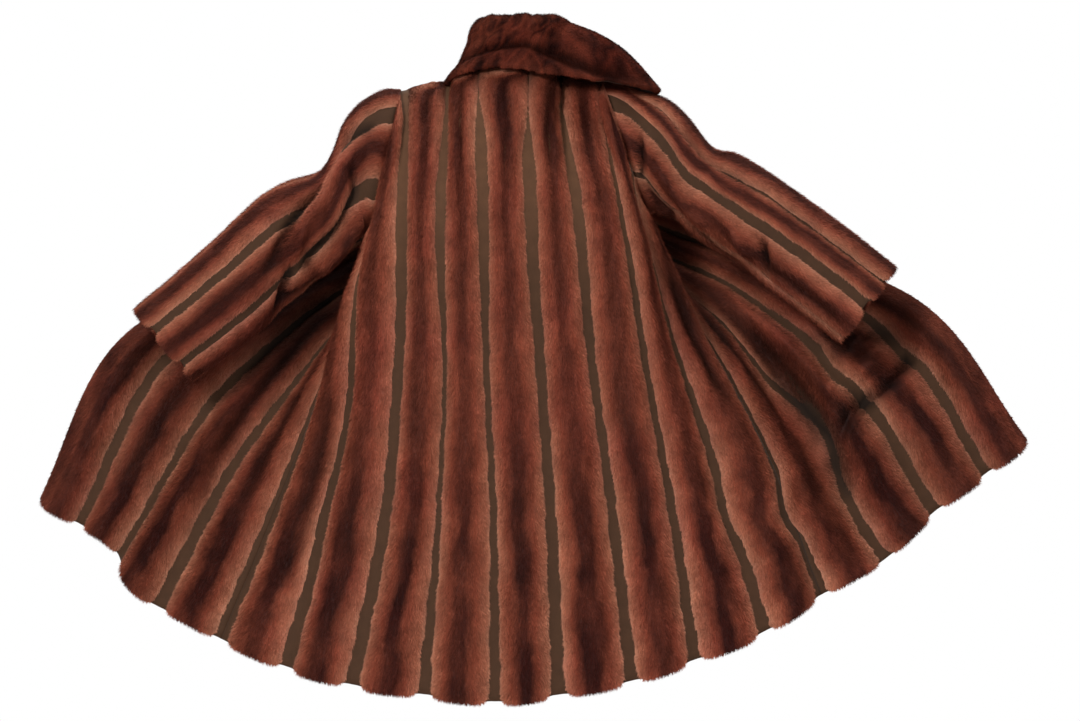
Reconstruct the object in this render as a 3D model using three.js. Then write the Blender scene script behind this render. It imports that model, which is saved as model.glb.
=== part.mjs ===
// A swing coat of let-out fur strips with narrow leather strips between them, worn open
// with both fronts held out to the sides. Millimetres, +Z up. The back of the coat faces -Y,
// the wearer looks along +Y, and the origin is the middle of the neck between the shoulders.
import * as THREE from "three";

// Driving sizes
const WALL = 3.5; // leather side of the wall, skin and lining together
const FUR = 11; // how far the fur of a strip stands above the leather
const COLLAR_FUR = 12;
const SEAM_GAP = 0.3;
const UNDERARM_GAP = 2.5; // the seam opens a little in the corner under the arm
const LEATHER_SHARE = 0.105; // half of a leather strip, as a share of the strip pitch
const HEM_DROP = 14; // fur ends below the leather at the hem
const HEM_ROUND = 0.45; // share of the fur height that is left at a cut end
const NECK_HALF = 88;
const NECK_BACK = 78;
const NECK_FRONT = 110;
const NECK_RISE = 14; // the back of the neck line above its shoulder points
const NECK_DROP = 30; // the front of the neck line below them
const NECK_END_DEG = 45; // where the front edge meets the neck line

// Shoulder points, armholes and underarms. tilt is the drop of one shoulder.
const LEFT = {
  neck: { x: -NECK_HALF, z: -8 },
  shoulder: { x: -187, z: -27 },
  underarm: { x: -241, z: -299 },
  armholeHalf: 75,
  lineTurn: 0.14, // place of the first leather strip round the sleeve, in strips from its top
};
const RIGHT = {
  neck: { x: NECK_HALF, z: 0 },
  shoulder: { x: 182, z: -12 },
  underarm: { x: 258, z: -244 },
  armholeHalf: 72,
  lineTurn: 0.41,
};

// One row for each seam line between strips, from the left front edge to the right one,
// with the place of the line at chest, waist, hip and hem. Lines 0 and 17 are the front edges,
// 4 and 13 the side seams, 8 and 9 lie beside the middle of the back.
const STATIONS = [0.2, 0.46, 0.72, 1];
const LINES = [
  { chestX: -175, chestZ: -165, waistX: -470, waistZ: -335, hipX: -712, hipZ: -486, hemX: -846, hemZ: -760 },
  { chestX: -170, chestZ: -225, waistX: -430, waistZ: -395, hipX: -630, hipZ: -525, hemX: -770, hemZ: -804 },
  { chestX: -172, chestZ: -275, waistX: -375, waistZ: -440, hipX: -535, hipZ: -595, hemX: -685, hemZ: -845 },
  { chestX: -222, chestZ: -345, waistX: -355, waistZ: -520, hipX: -483, hipZ: -695, hemX: -612, hemZ: -942 },
  { chestX: -283, chestZ: -430, waistX: -350, waistZ: -605, hipX: -425, hipZ: -800, hemX: -506, hemZ: -1006 },
  { chestX: -263, chestZ: -377, waistX: -280, waistZ: -600, hipX: -322, hipZ: -818, hemX: -383, hemZ: -1056 },
  { chestX: -180, chestZ: -240, waistX: -186, waistZ: -515, hipX: -208, hipZ: -790, hemX: -266, hemZ: -1085 },
  { chestX: -112, chestZ: -230, waistX: -108, waistZ: -510, hipX: -116, hipZ: -795, hemX: -140, hemZ: -1100 },
  { chestX: -36, chestZ: -222, waistX: -30, waistZ: -510, hipX: -17, hipZ: -800, hemX: -14, hemZ: -1112 },
  { chestX: 46, chestZ: -220, waistX: 66, waistZ: -505, hipX: 86, hipZ: -795, hemX: 99, hemZ: -1100 },
  { chestX: 132, chestZ: -225, waistX: 158, waistZ: -500, hipX: 196, hipZ: -785, hemX: 229, hemZ: -1076 },
  { chestX: 207, chestZ: -230, waistX: 252, waistZ: -490, hipX: 300, hipZ: -755, hemX: 342, hemZ: -1040 },
  { chestX: 272, chestZ: -345, waistX: 338, waistZ: -560, hipX: 398, hipZ: -765, hemX: 465, hemZ: -993 },
  { chestX: 318, chestZ: -380, waistX: 410, waistZ: -550, hipX: 497, hipZ: -722, hemX: 571, hemZ: -928 },
  { chestX: 242, chestZ: -305, waistX: 420, waistZ: -465, hipX: 565, hipZ: -662, hemX: 689, hemZ: -860 },
  { chestX: 182, chestZ: -245, waistX: 430, waistZ: -385, hipX: 625, hipZ: -545, hemX: 780, hemZ: -780 },
  { chestX: 170, chestZ: -200, waistX: 450, waistZ: -335, hipX: 718, hipZ: -470, hemX: 877, hemZ: -712 },
  { chestX: 175, chestZ: -145, waistX: 480, waistZ: -285, hipX: 772, hipZ: -414, hemX: 954, hemZ: -652 },
];
// Depth of a seam line, counted from its front edge to the middle of the back, and the way it
// leaves the shoulder, armhole or neck line.
const DEPTHS = [
  { chest: 150, waist: 118, hip: 48, hem: 45, startX: -0.3, startY: 0.75, startZ: -0.55 },
  { chest: 148, waist: 122, hip: 55, hem: 25, startX: 0, startY: 0.9, startZ: -0.4 },
  { chest: 140, waist: 116, hip: 50, hem: -15, startX: 0.35, startY: 0.85, startZ: -0.5 },
  { chest: 108, waist: 80, hip: 10, hem: -65, startX: 0.45, startY: 0.6, startZ: -0.7 },
  { chest: 8, waist: -15, hip: -60, hem: -115, startX: -0.25, startY: 0, startZ: -1 },
  { chest: -68, waist: -90, hip: -125, hem: -165, startX: 0.05, startY: -0.35, startZ: -0.95 },
  { chest: -122, waist: -135, hip: -165, hem: -205, startX: 0.05, startY: -0.9, startZ: -0.5 },
  { chest: -140, waist: -152, hip: -185, hem: -230, startX: 0, startY: -0.85, startZ: -0.55 },
  { chest: -146, waist: -160, hip: -195, hem: -242, startX: 0, startY: -0.8, startZ: -0.6 },
];
// Soft folds of the skirt: strip coordinate of the crest, from and to down the coat, height,
// half width in strips, and how much lower the hem hangs there.
const BODY_FOLDS = [
  { at: 2.42, from: 0.62, to: 1.1, height: 26, half: 0.6, drop: 34 },
  { at: 1.9, from: 0.7, to: 1.1, height: -20, half: 0.42, drop: 0 },
  { at: 5.4, from: 0.35, to: 1.1, height: 14, half: 0.8, drop: 0 },
  { at: 4.6, from: 0.3, to: 0.95, height: -14, half: 0.6, drop: 0 },
  { at: 12.5, from: 0.3, to: 1.1, height: 18, half: 0.8, drop: 0 },
  { at: 11.7, from: 0.1, to: 0.8, height: -14, half: 0.6, drop: 0 },
  { at: 13.7, from: 0.4, to: 1.05, height: -24, half: 0.7, drop: 0 },
  { at: 14.9, from: 0.5, to: 0.95, height: 24, half: 0.55, drop: 0 },
  { at: 15.7, from: 0.55, to: 0.9, height: -24, half: 0.5, drop: 0 },
];
const FLUTE_TOP = 2.5; // each strip hangs as a soft flute, deeper towards the hem
const FLUTE_HEM = 9;

// Cross sections of the sleeves by their top and bottom in the front view, outside of the fur.
const LEFT_SLEEVE = [
  { at: 0, topX: -187, topZ: -27, botX: -241, botZ: -299, midY: 0, halfY: 75 },
  { at: 0.1, topX: -236, topZ: -30, botX: -261, botZ: -308, midY: -2, halfY: 86 },
  { at: 0.18, topX: -276, topZ: -66, botX: -276, botZ: -318, midY: -4, halfY: 90 },
  { at: 0.25, topX: -298, topZ: -118, botX: -288, botZ: -329, midY: -6, halfY: 90 },
  { at: 0.31, topX: -322, topZ: -148, botX: -300, botZ: -341, midY: -8, halfY: 88 },
  { at: 0.4, topX: -378, topZ: -170, botX: -320, botZ: -361, midY: -11, halfY: 88 },
  { at: 0.52, topX: -444, topZ: -211, botX: -348, botZ: -390, midY: -14, halfY: 88 },
  { at: 0.68, topX: -515, topZ: -279, botX: -415, botZ: -445, midY: -20, halfY: 84 },
  { at: 0.85, topX: -598, topZ: -353, botX: -490, botZ: -502, midY: -26, halfY: 80 },
  { at: 1, topX: -666, topZ: -410, botX: -550, botZ: -547, midY: -30, halfY: 78 },
];
const RIGHT_SLEEVE = [
  { at: 0, topX: 182, topZ: -12, botX: 258, botZ: -244, midY: 0, halfY: 72 },
  { at: 0.1, topX: 236, topZ: -20, botX: 276, botZ: -250, midY: -2, halfY: 84 },
  { at: 0.2, topX: 298, topZ: -38, botX: 294, botZ: -258, midY: -4, halfY: 88 },
  { at: 0.32, topX: 366, topZ: -97, botX: 322, botZ: -274, midY: -8, halfY: 87 },
  { at: 0.5, topX: 446, topZ: -143, botX: 374, botZ: -316, midY: -14, halfY: 86 },
  { at: 0.68, topX: 542, topZ: -209, botX: 455, botZ: -368, midY: -20, halfY: 84 },
  { at: 0.85, topX: 626, topZ: -270, botX: 532, botZ: -424, midY: -26, halfY: 82 },
  { at: 1, topX: 707, topZ: -334, botX: 600, botZ: -478, midY: -30, halfY: 80 },
];
const SLEEVE_STRIPS = 6;
// Creases of the sleeves: place along the sleeve, place round it in turns from the top over
// the back, depth and the half sizes of the dent.
const SLEEVE_FOLDS = [
  { at: 0.36, turn: 0.06, depth: 15, long: 0.07, round: 0.16 },
  { at: 0.46, turn: 0.3, depth: 14, long: 0.08, round: 0.16 },
  { at: 0.3, turn: 0.42, depth: 12, long: 0.1, round: 0.12 },
  { at: 0.62, turn: 0.44, depth: 10, long: 0.08, round: 0.12 },
  { at: 0.5, turn: 0.75, depth: 12, long: 0.09, round: 0.15 },
];

// The collar stands up from the neck line to a fold and falls outwards over the shoulders.
// The fold is an oval round the neck. The table gives, by the angle round the neck from the
// left shoulder over the back, how far out of the neck line the fall ends and at what height.
const COLLAR_FOLD = { x: 36, y: 4, halfX: 74, halfY: 76, halfWidth: 9, insideDown: 24, outsideDown: 7 };
const COLLAR_FALL = [
  { angle: -45, out: 30, edgeZ: -16, foldZ: 50 },
  { angle: 0, out: 11, edgeZ: -4, foldZ: 92 },
  { angle: 45, out: 28, edgeZ: 13, foldZ: 99 },
  { angle: 90, out: 34, edgeZ: 16, foldZ: 100 },
  { angle: 135, out: 78, edgeZ: 12, foldZ: 100 },
  { angle: 180, out: 187, edgeZ: -21, foldZ: 92 },
  { angle: 225, out: 84, edgeZ: -40, foldZ: 52 },
];
const FALL_BULGE = 15; // the fall curves out between its fold and its edge

const FUR_COLOUR = 0x6b3426;
const COLLAR_COLOUR = 0x5a2c24;

const STRIPS = LINES.length - 1;
const LEFT_SEAM = 4;
const RIGHT_SEAM = STRIPS - LEFT_SEAM;
const BODY_ROWS = [0, 0.03, 0.07, 0.12, 0.18, 0.25, 0.33, 0.42, 0.51, 0.6, 0.69, 0.78, 0.86, 0.93, 0.975, 1];
const SLEEVE_ROWS = [0, 0.04, 0.1, 0.17, 0.25, 0.34, 0.44, 0.54, 0.64, 0.74, 0.84, 0.92, 0.97, 1];
const COLLAR_ROWS = [0, 0.1, 0.22, 0.32, 0.4, 0.46, 0.52, 0.6, 0.7, 0.8, 0.9, 0.97, 1];

const vec = (x, y, z) => new THREE.Vector3(x, y, z);
const mix = THREE.MathUtils.lerp;
const smooth = (t, a = 0, b = 1) => THREE.MathUtils.smoothstep(t, a, b);

// Smooth curve through values at knots, with an optional slope at the first knot.
function splineAt(knots, values, t, firstSlope) {
  let k = 0;
  while (k < knots.length - 2 && t > knots[k + 1]) k++;
  const slope = (i) => {
    if (i === 0 && firstSlope !== undefined) return firstSlope;
    const a = Math.max(i - 1, 0);
    const b = Math.min(i + 1, knots.length - 1);
    return (values[b] - values[a]) / (knots[b] - knots[a]);
  };
  const h = knots[k + 1] - knots[k];
  const s = (t - knots[k]) / h;
  const s2 = s * s;
  const s3 = s2 * s;
  return (
    values[k] * (2 * s3 - 3 * s2 + 1) +
    slope(k) * h * (s3 - 2 * s2 + s) +
    values[k + 1] * (3 * s2 - 2 * s3) +
    slope(k + 1) * h * (s3 - s2)
  );
}

// Smooth curve through evenly spaced values, for the way across the strips.
function acrossAt(values, u) {
  const i = Math.min(Math.max(Math.floor(u), 0), values.length - 2);
  const at = (k) => values[Math.min(Math.max(k, 0), values.length - 1)];
  const ends = [
    i > 0 ? at(i - 1) : 2 * at(0) - at(1),
    at(i),
    at(i + 1),
    i < values.length - 2 ? at(i + 2) : 2 * at(i + 1) - at(i),
  ];
  const s = u - i;
  return (
    0.5 *
    (2 * ends[1] +
      (ends[2] - ends[0]) * s +
      (2 * ends[0] - 5 * ends[1] + 4 * ends[2] - ends[3]) * s * s +
      (3 * ends[1] - ends[0] - 3 * ends[2] + ends[3]) * s * s * s)
  );
}

// A point of an armhole, by its angle from the shoulder point, positive over the back.
function armholePoint(side, angle, grow = 0) {
  const top = vec(side.shoulder.x, 0, side.shoulder.z);
  const low = vec(side.underarm.x, 0, side.underarm.z);
  const middle = top.clone().add(low).multiplyScalar(0.5);
  const up = top.clone().sub(middle);
  const size = up.length();
  up.normalize();
  return middle
    .addScaledVector(up, (size + grow) * Math.cos(angle))
    .add(vec(0, -(side.armholeHalf + grow) * Math.sin(angle), 0));
}
const armholeOut = (side, angle) => armholePoint(side, angle, 1).sub(armholePoint(side, angle)).normalize();

// A point of the neck line: angle 0 at the left shoulder, a half turn at the right one, over
// the back; negative angles and those past a half turn run down to the front edges.
function neckPoint(angle) {
  const behind = Math.sin(angle) >= 0;
  const share = (1 - Math.cos(angle)) / 2;
  return vec(
    -NECK_HALF * Math.cos(angle),
    -(behind ? NECK_BACK : NECK_FRONT) * Math.sin(angle),
    mix(LEFT.neck.z, RIGHT.neck.z, share) +
      (behind ? NECK_RISE : (NECK_DROP * 1.0) / Math.sin(THREE.MathUtils.degToRad(NECK_END_DEG))) *
        Math.sin(angle),
  );
}
function neckOut(angle) {
  return vec(-Math.cos(angle), -Math.sin(angle) * 0.8, 0.9).normalize();
}

// Where a column of the body starts, and the way its cut edge faces there.
function topOf(u) {
  const mirrored = u > STRIPS / 2;
  const side = mirrored ? RIGHT : LEFT;
  const w = mirrored ? STRIPS - u : u;
  const end = THREE.MathUtils.degToRad(NECK_END_DEG);
  const turn = (a) => (mirrored ? Math.PI - a : a);
  const shoulderRow = (share) => {
    const neck = neckPoint(turn(0));
    const tip = armholePoint(side, 0);
    const point = neck.clone().lerp(tip, share);
    const out = neckOut(turn(0)).lerp(armholeOut(side, 0), smooth(share, 0, 0.5)).setY(0).normalize();
    return { point, out };
  };
  if (w < 1) return { point: neckPoint(turn(-end * (1 - w))), out: neckOut(turn(-end * (1 - w))) };
  if (w < 2) return shoulderRow(w - 1);
  if (w < 6) {
    const angle = w < 4 ? -Math.PI * splineAt([2, 3, 4], [0, 0.52, 1], w) : Math.PI * splineAt([4, 5, 6], [1, 0.6, 0], w);
    return { point: armholePoint(side, angle), out: armholeOut(side, angle) };
  }
  if (w < 7) return shoulderRow(7 - w);
  const angle = turn(((w - 7) / 3) * Math.PI);
  return { point: neckPoint(angle), out: neckOut(angle) };
}

// The lining side of the body, at strip coordinate u and share v of the way down.
const across = (pick) => LINES.map((_, i) => pick(LINES[i], DEPTHS[Math.min(i, STRIPS - i)], i));
const stationsX = ["chest", "waist", "hip", "hem"].map((s) => across((line) => line[s + "X"]));
const stationsY = ["chest", "waist", "hip", "hem"].map((s) => across((line, depth) => depth[s]));
const stationsZ = ["chest", "waist", "hip", "hem"].map((s) => across((line) => line[s + "Z"]));
const startX = across((line, depth, i) => (i > STRIPS / 2 ? -depth.startX : depth.startX));
const startY = across((line, depth) => depth.startY);
const startZ = across((line, depth) => depth.startZ);

function bodyLine(u, v) {
  const knots = [0, ...STATIONS];
  const top = topOf(u).point;
  const first = vec(acrossAt(stationsX[0], u), acrossAt(stationsY[0], u), acrossAt(stationsZ[0], u));
  const start = vec(acrossAt(startX, u), acrossAt(startY, u), acrossAt(startZ, u)).normalize();
  start.multiplyScalar((1.15 * top.distanceTo(first)) / STATIONS[0]);
  return vec(
    splineAt(knots, [top.x, ...stationsX.map((row) => acrossAt(row, u))], v, start.x),
    splineAt(knots, [top.y, ...stationsY.map((row) => acrossAt(row, u))], v, start.y),
    splineAt(knots, [top.z, ...stationsZ.map((row) => acrossAt(row, u))], v, start.z),
  );
}

function normalOf(surface, u, v, uMax, vMax) {
  const step = 0.01;
  const du = surface(Math.min(u + step, uMax), v).sub(surface(Math.max(u - step, 0), v));
  const dv = surface(u, Math.min(v + step, vMax)).sub(surface(u, Math.max(v - step, 0)));
  return dv.cross(du).normalize();
}

// The fur is pressed flat in the corner under the arm: share of its height that is left, by
// the angle round the armhole and the distance from it.
function underarmShare(angle, distance) {
  const near = smooth(-Math.cos(angle), 0.2, 0.9);
  return 1 - 0.8 * near * (1 - smooth(distance, 0, 45));
}

function foldHeight(u, v) {
  let height = -Math.cos(2 * Math.PI * u) * mix(FLUTE_TOP, FLUTE_HEM, smooth(v, 0.1, 1)) * smooth(v, 0, 0.15);
  for (const fold of BODY_FOLDS) {
    const side = (u - fold.at) / fold.half;
    height += fold.height * Math.exp(-side * side) * smooth(v, fold.from, (fold.from + Math.min(fold.to, 1)) / 2) *
      (1 - smooth(v, fold.to - 0.12, fold.to));
  }
  return height;
}

const foldDrop = (u) =>
  BODY_FOLDS.reduce((sum, fold) => sum + fold.drop * Math.exp(-(((u - fold.at) / fold.half) ** 2)), 0);

function bodyNormal(u, v) {
  const free = normalOf(bodyLine, u, v, STRIPS, 1);
  return topOf(u).out.lerp(free, smooth(v, 0, 0.06)).normalize();
}
function bodyInner(u, v) {
  return bodyLine(u, v).addScaledVector(bodyNormal(u, v), foldHeight(u, v));
}

// Shares across one strip, from the leather edge over the fur to the next leather edge,
// with the height of the fur there.
function stripColumns(half, firstHalf = half, lastHalf = half) {
  return [
    { share: firstHalf, rib: firstHalf > 0 ? 0 : 0.35 },
    { share: firstHalf + 0.09, rib: 0.72 },
    { share: 0.37, rib: 1 },
    { share: 0.63, rib: 1 },
    { share: 1 - lastHalf - 0.09, rib: 0.72 },
    { share: 1 - lastHalf, rib: lastHalf > 0 ? 0 : 0.35 },
  ];
}

function bodyColumns(from, to, open) {
  const columns = [];
  for (let strip = from; strip < to; strip++) {
    const first = strip === from;
    const last = strip === to - 1;
    if (first && open !== "first") columns.push({ u: from, rib: 0, seam: 1 });
    const halves = stripColumns(
      LEATHER_SHARE,
      first && open === "first" ? 0 : LEATHER_SHARE,
      last && open === "last" ? 0 : LEATHER_SHARE,
    );
    for (const { share, rib } of halves) columns.push({ u: strip + share, rib });
    if (last && open !== "last") columns.push({ u: to, rib: 0, seam: -1 });
  }
  return columns;
}

// A closed wall between an inner and an outer grid of points, rows by columns.
function wallGeometry(inner, outer, closed) {
  const rows = inner.length;
  const columns = inner[0].length;
  const points = [...inner.flat(), ...outer.flat()];
  const at = (side, j, i) => side * rows * columns + j * columns + (closed ? i % columns : i);
  const index = [];
  const quad = (a, b, c, d) => index.push(a, b, c, a, c, d);
  const cells = closed ? columns : columns - 1;
  for (let j = 0; j < rows - 1; j++)
    for (let i = 0; i < cells; i++) {
      quad(at(1, j, i), at(1, j + 1, i), at(1, j + 1, i + 1), at(1, j, i + 1));
      quad(at(0, j, i), at(0, j, i + 1), at(0, j + 1, i + 1), at(0, j + 1, i));
    }
  for (let i = 0; i < cells; i++) {
    quad(at(0, 0, i), at(1, 0, i), at(1, 0, i + 1), at(0, 0, i + 1));
    quad(at(0, rows - 1, i), at(0, rows - 1, i + 1), at(1, rows - 1, i + 1), at(1, rows - 1, i));
  }
  if (!closed)
    for (let j = 0; j < rows - 1; j++) {
      const end = columns - 1;
      quad(at(0, j, 0), at(0, j + 1, 0), at(1, j + 1, 0), at(1, j, 0));
      quad(at(0, j, end), at(1, j, end), at(1, j + 1, end), at(0, j + 1, end));
    }
  const geometry = new THREE.BufferGeometry();
  geometry.setAttribute("position", new THREE.Float32BufferAttribute(points.flatMap((p) => p.toArray()), 3));
  geometry.setIndex(index);
  return geometry;
}

// A body panel between two strip lines. Its seam edges stand half a gap back from the seam.
function bodyPanel(from, to, open) {
  const columns = bodyColumns(from, to, open);
  const inner = [];
  const outer = [];
  for (const v of BODY_ROWS) {
    const innerRow = [];
    const outerRow = [];
    for (const column of columns) {
      const base = bodyInner(column.u, v);
      const normal = bodyNormal(column.u, v);
      const down = bodyLine(column.u, Math.min(v + 0.01, 1)).sub(bodyLine(column.u, Math.min(v + 0.01, 1) - 0.01)).normalize();
      const round = 1 - (1 - HEM_ROUND) * smooth(v, 0.95, 1);
      const grown = smooth(v, 0, 0.05);
      const drop = (HEM_DROP * Math.sqrt(column.rib) + foldDrop(column.u)) * smooth(v, 0.8, 1);
      const beside4 = Math.min(Math.abs(column.u - LEFT_SEAM), Math.abs(column.u - RIGHT_SEAM));
      const pressed = beside4 < 1.6 ? underarmShare(Math.PI * (1 - beside4 / 2), v * 800) : 1;
      const shift = vec(0, 0, 0).addScaledVector(down, drop);
      if (column.seam) {
        const beside = bodyLine(column.u + 0.01, v).sub(bodyLine(column.u - 0.01, v)).normalize();
        shift.addScaledVector(beside, (column.seam * SEAM_GAP) / 2);
      }
      if (v === 0) shift.add(topShift(column.u));
      innerRow.push(base.clone().add(shift));
      outerRow.push(base.clone().add(shift).addScaledVector(normal, WALL + FUR * column.rib * round * pressed * mix(0.5, 1, grown)));
    }
    inner.push(innerRow);
    outer.push(outerRow);
  }
  return wallGeometry(inner, outer, false);
}

// The half gap that the body keeps at its top edge: to the other panel at the shoulder, to
// the sleeve at the armhole and to the collar at the neck.
function topShift(u) {
  const w = Math.min(u, STRIPS - u);
  const side = u > STRIPS / 2 ? 1 : -1;
  const half = SEAM_GAP / 2;
  const shift = vec(0, 0, 0);
  if (w >= 1 && w <= 2) shift.add(vec(0, half, 0));
  if (w >= 6 && w <= 7) shift.add(vec(0, -half, 0));
  if (w >= 2 && w <= 6) shift.add(vec(-side * half, 0, 0));
  return shift;
}

// A sleeve ring by its turn from the top over the back, at share s of the way to the cuff.
function sleeveSurface(sections, side) {
  const knots = sections.map((row) => row.at);
  const column = (name) => sections.map((row) => row[name]);
  const [topX, topZ, botX, botZ, midY, halfY] = ["topX", "topZ", "botX", "botZ", "midY", "halfY"].map(column);
  return (turn, s) => {
    const top = vec(splineAt(knots, topX, s), 0, splineAt(knots, topZ, s));
    const low = vec(splineAt(knots, botX, s), 0, splineAt(knots, botZ, s));
    const middle = top.clone().add(low).multiplyScalar(0.5);
    const up = top.clone().sub(middle);
    const skin = (WALL + FUR) * smooth(s, 0, 0.12);
    const size = up.length() - skin;
    up.normalize();
    let across = splineAt(knots, halfY, s) - skin;
    let dent = 0;
    for (const fold of SLEEVE_FOLDS) {
      const round = ((turn - fold.turn + 1.5) % 1) - 0.5;
      dent += fold.depth * Math.exp(-((round / fold.round) ** 2) - ((s - fold.at) / fold.long) ** 2);
    }
    const angle = 2 * Math.PI * turn;
    return middle
      .addScaledVector(up, (size - dent) * Math.cos(angle))
      .add(vec(0, splineAt(knots, midY, s) - (across - dent) * Math.sin(angle), 0));
  };
}

function sleeve(sections, side) {
  const surface = sleeveSurface(sections, side);
  const mirror = side === RIGHT ? 1 : -1;
  const columns = [];
  for (let strip = 0; strip < SLEEVE_STRIPS; strip++)
    for (const { share, rib } of stripColumns(LEATHER_SHARE))
      columns.push({ turn: (strip + side.lineTurn + share) / SLEEVE_STRIPS, rib });
  const inner = [];
  const outer = [];
  for (const s of SLEEVE_ROWS) {
    const innerRow = [];
    const outerRow = [];
    for (const column of columns) {
      const angle = 2 * Math.PI * column.turn;
      const step = 0.004;
      const around = surface(column.turn + step, s).sub(surface(column.turn - step, s));
      const along = surface(column.turn, Math.min(s + step, 1)).sub(surface(column.turn, Math.max(s - step, 0)));
      const free = around.cross(along).normalize().multiplyScalar(mirror);
      const normal = armholeOut(side, angle).lerp(free, smooth(s, 0, 0.08)).normalize();
      const way = along.normalize();
      const round = 1 - (1 - HEM_ROUND) * smooth(s, 0.95, 1);
      const drop = 0.6 * HEM_DROP * Math.sqrt(column.rib) * smooth(s, 0.88, 1);
      const point = surface(column.turn, s).addScaledVector(way, drop);
      const corner = smooth(-Math.cos(angle), 0.2, 0.8);
      if (s === 0) point.add(vec(mirror * mix(SEAM_GAP / 2, UNDERARM_GAP, corner), 0, 0));
      innerRow.push(point);
      const grown = smooth(s, 0, 0.05);
      const pressed = underarmShare(angle, s * 180);
      outerRow.push(point.clone().addScaledVector(normal, WALL + FUR * column.rib * round * pressed * mix(0.5, 1, grown)));
    }
    inner.push(innerRow);
    outer.push(outerRow);
  }
  if (side === RIGHT) {
    inner.forEach((row) => row.reverse());
    outer.forEach((row) => row.reverse());
  }
  return wallGeometry(inner, outer, true);
}

// The collar uses the same places along the neck line as the body panels below it.
function neckAngles() {
  const end = THREE.MathUtils.degToRad(NECK_END_DEG);
  const angles = [];
  const add = (u) => {
    if (u <= 1) angles.push(-end * (1 - u));
    else if (u >= STRIPS - 1) angles.push(Math.PI + end * (u - (STRIPS - 1)));
    else if (u >= 7 && u <= STRIPS - 7) angles.push(((u - 7) / 3) * Math.PI);
  };
  bodyColumns(0, LEFT_SEAM, "first").forEach((column) => add(column.u));
  angles.push(0);
  bodyColumns(LEFT_SEAM, RIGHT_SEAM).forEach((column) => add(column.u));
  angles.push(Math.PI);
  bodyColumns(RIGHT_SEAM, STRIPS, "last").forEach((column) => add(column.u));
  return angles;
}

function collarSurface(angle, v) {
  const seam = neckPoint(angle);
  const degrees = THREE.MathUtils.radToDeg(angle);
  const angles = COLLAR_FALL.map((row) => row.angle);
  const [out, edgeZ, foldZ] = ["out", "edgeZ", "foldZ"].map((name) =>
    splineAt(angles, COLLAR_FALL.map((row) => row[name]), degrees),
  );
  const away = vec(-Math.cos(angle), -Math.sin(angle), 0);
  const foldAt = (wider, lower) =>
    vec(
      COLLAR_FOLD.x - (COLLAR_FOLD.halfX + wider) * Math.cos(angle),
      COLLAR_FOLD.y - (COLLAR_FOLD.halfY + wider) * Math.sin(angle),
      foldZ - lower,
    );
  const stand = foldAt(-COLLAR_FOLD.halfWidth, COLLAR_FOLD.insideDown);
  const fold = foldAt(0, 0);
  const turned = foldAt(COLLAR_FOLD.halfWidth, COLLAR_FOLD.outsideDown);
  const edge = seam.clone().addScaledVector(away, out).setZ(edgeZ);
  const fall = turned.clone().lerp(edge, 0.5).addScaledVector(away, mix(-9, FALL_BULGE, smooth(out, 8, 150)));
  fall.z += FALL_BULGE * smooth(out, 20, 150);
  const path = [seam, stand, fold, turned, fall, edge];
  const knots = [0, 0.34, 0.46, 0.56, 0.8, 1];
  return vec(...["x", "y", "z"].map((axis) => splineAt(knots, path.map((point) => point[axis]), v)));
}
function collar() {
  const angles = neckAngles();
  const inner = [];
  const outer = [];
  for (const v of COLLAR_ROWS) {
    const innerRow = [];
    const outerRow = [];
    angles.forEach((angle, i) => {
      const step = 0.01;
      const around = collarSurface(angle + step, v).sub(collarSurface(angle - step, v));
      const along = collarSurface(angle, Math.min(v + step, 1)).sub(collarSurface(angle, Math.max(v - step, 0)));
      const normal = along.cross(around).normalize();
      const edge = Math.min(i, angles.length - 1 - i) === 0 ? 0.5 : 1;
      const height = WALL + COLLAR_FUR * edge * mix(0.3, 1, smooth(v, 0, 0.2)) * (1 - 0.5 * smooth(v, 0.9, 1));
      const point = collarSurface(angle, v);
      if (v === 0) point.add(vec(0, 0, SEAM_GAP));
      innerRow.push(point);
      outerRow.push(point.clone().addScaledVector(normal, height));
    });
    inner.push(innerRow);
    outer.push(outerRow);
  }
  return wallGeometry(inner, outer, false);
}

const coat = new THREE.Group();
coat.name = "fur_coat";
const furMaterial = (color) => new THREE.MeshStandardMaterial({ color, roughness: 0.85, metalness: 0 });
const addPiece = (name, geometry, color = FUR_COLOUR) => {
  const mesh = new THREE.Mesh(geometry, furMaterial(color));
  mesh.name = name;
  geometry.computeVertexNormals();
  coat.add(mesh);
};
addPiece("front_left", bodyPanel(0, LEFT_SEAM, "first"));
addPiece("back", bodyPanel(LEFT_SEAM, RIGHT_SEAM));
addPiece("front_right", bodyPanel(RIGHT_SEAM, STRIPS, "last"));
addPiece("sleeve_left", sleeve(LEFT_SLEEVE, LEFT));
addPiece("sleeve_right", sleeve(RIGHT_SLEEVE, RIGHT));
addPiece("collar", collar(), COLLAR_COLOUR);

export default coat;
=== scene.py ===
"""A swing coat of let-out fur strips with narrow leather strips between them, laid out as an add-on.

Each body panel, the sleeves and the collar are thin shells on the form of their CAD solids. Fur
strips lie on them as low ribs, and short locks of fur cover the ribs, combed down the strip.
"""

import math

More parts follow.
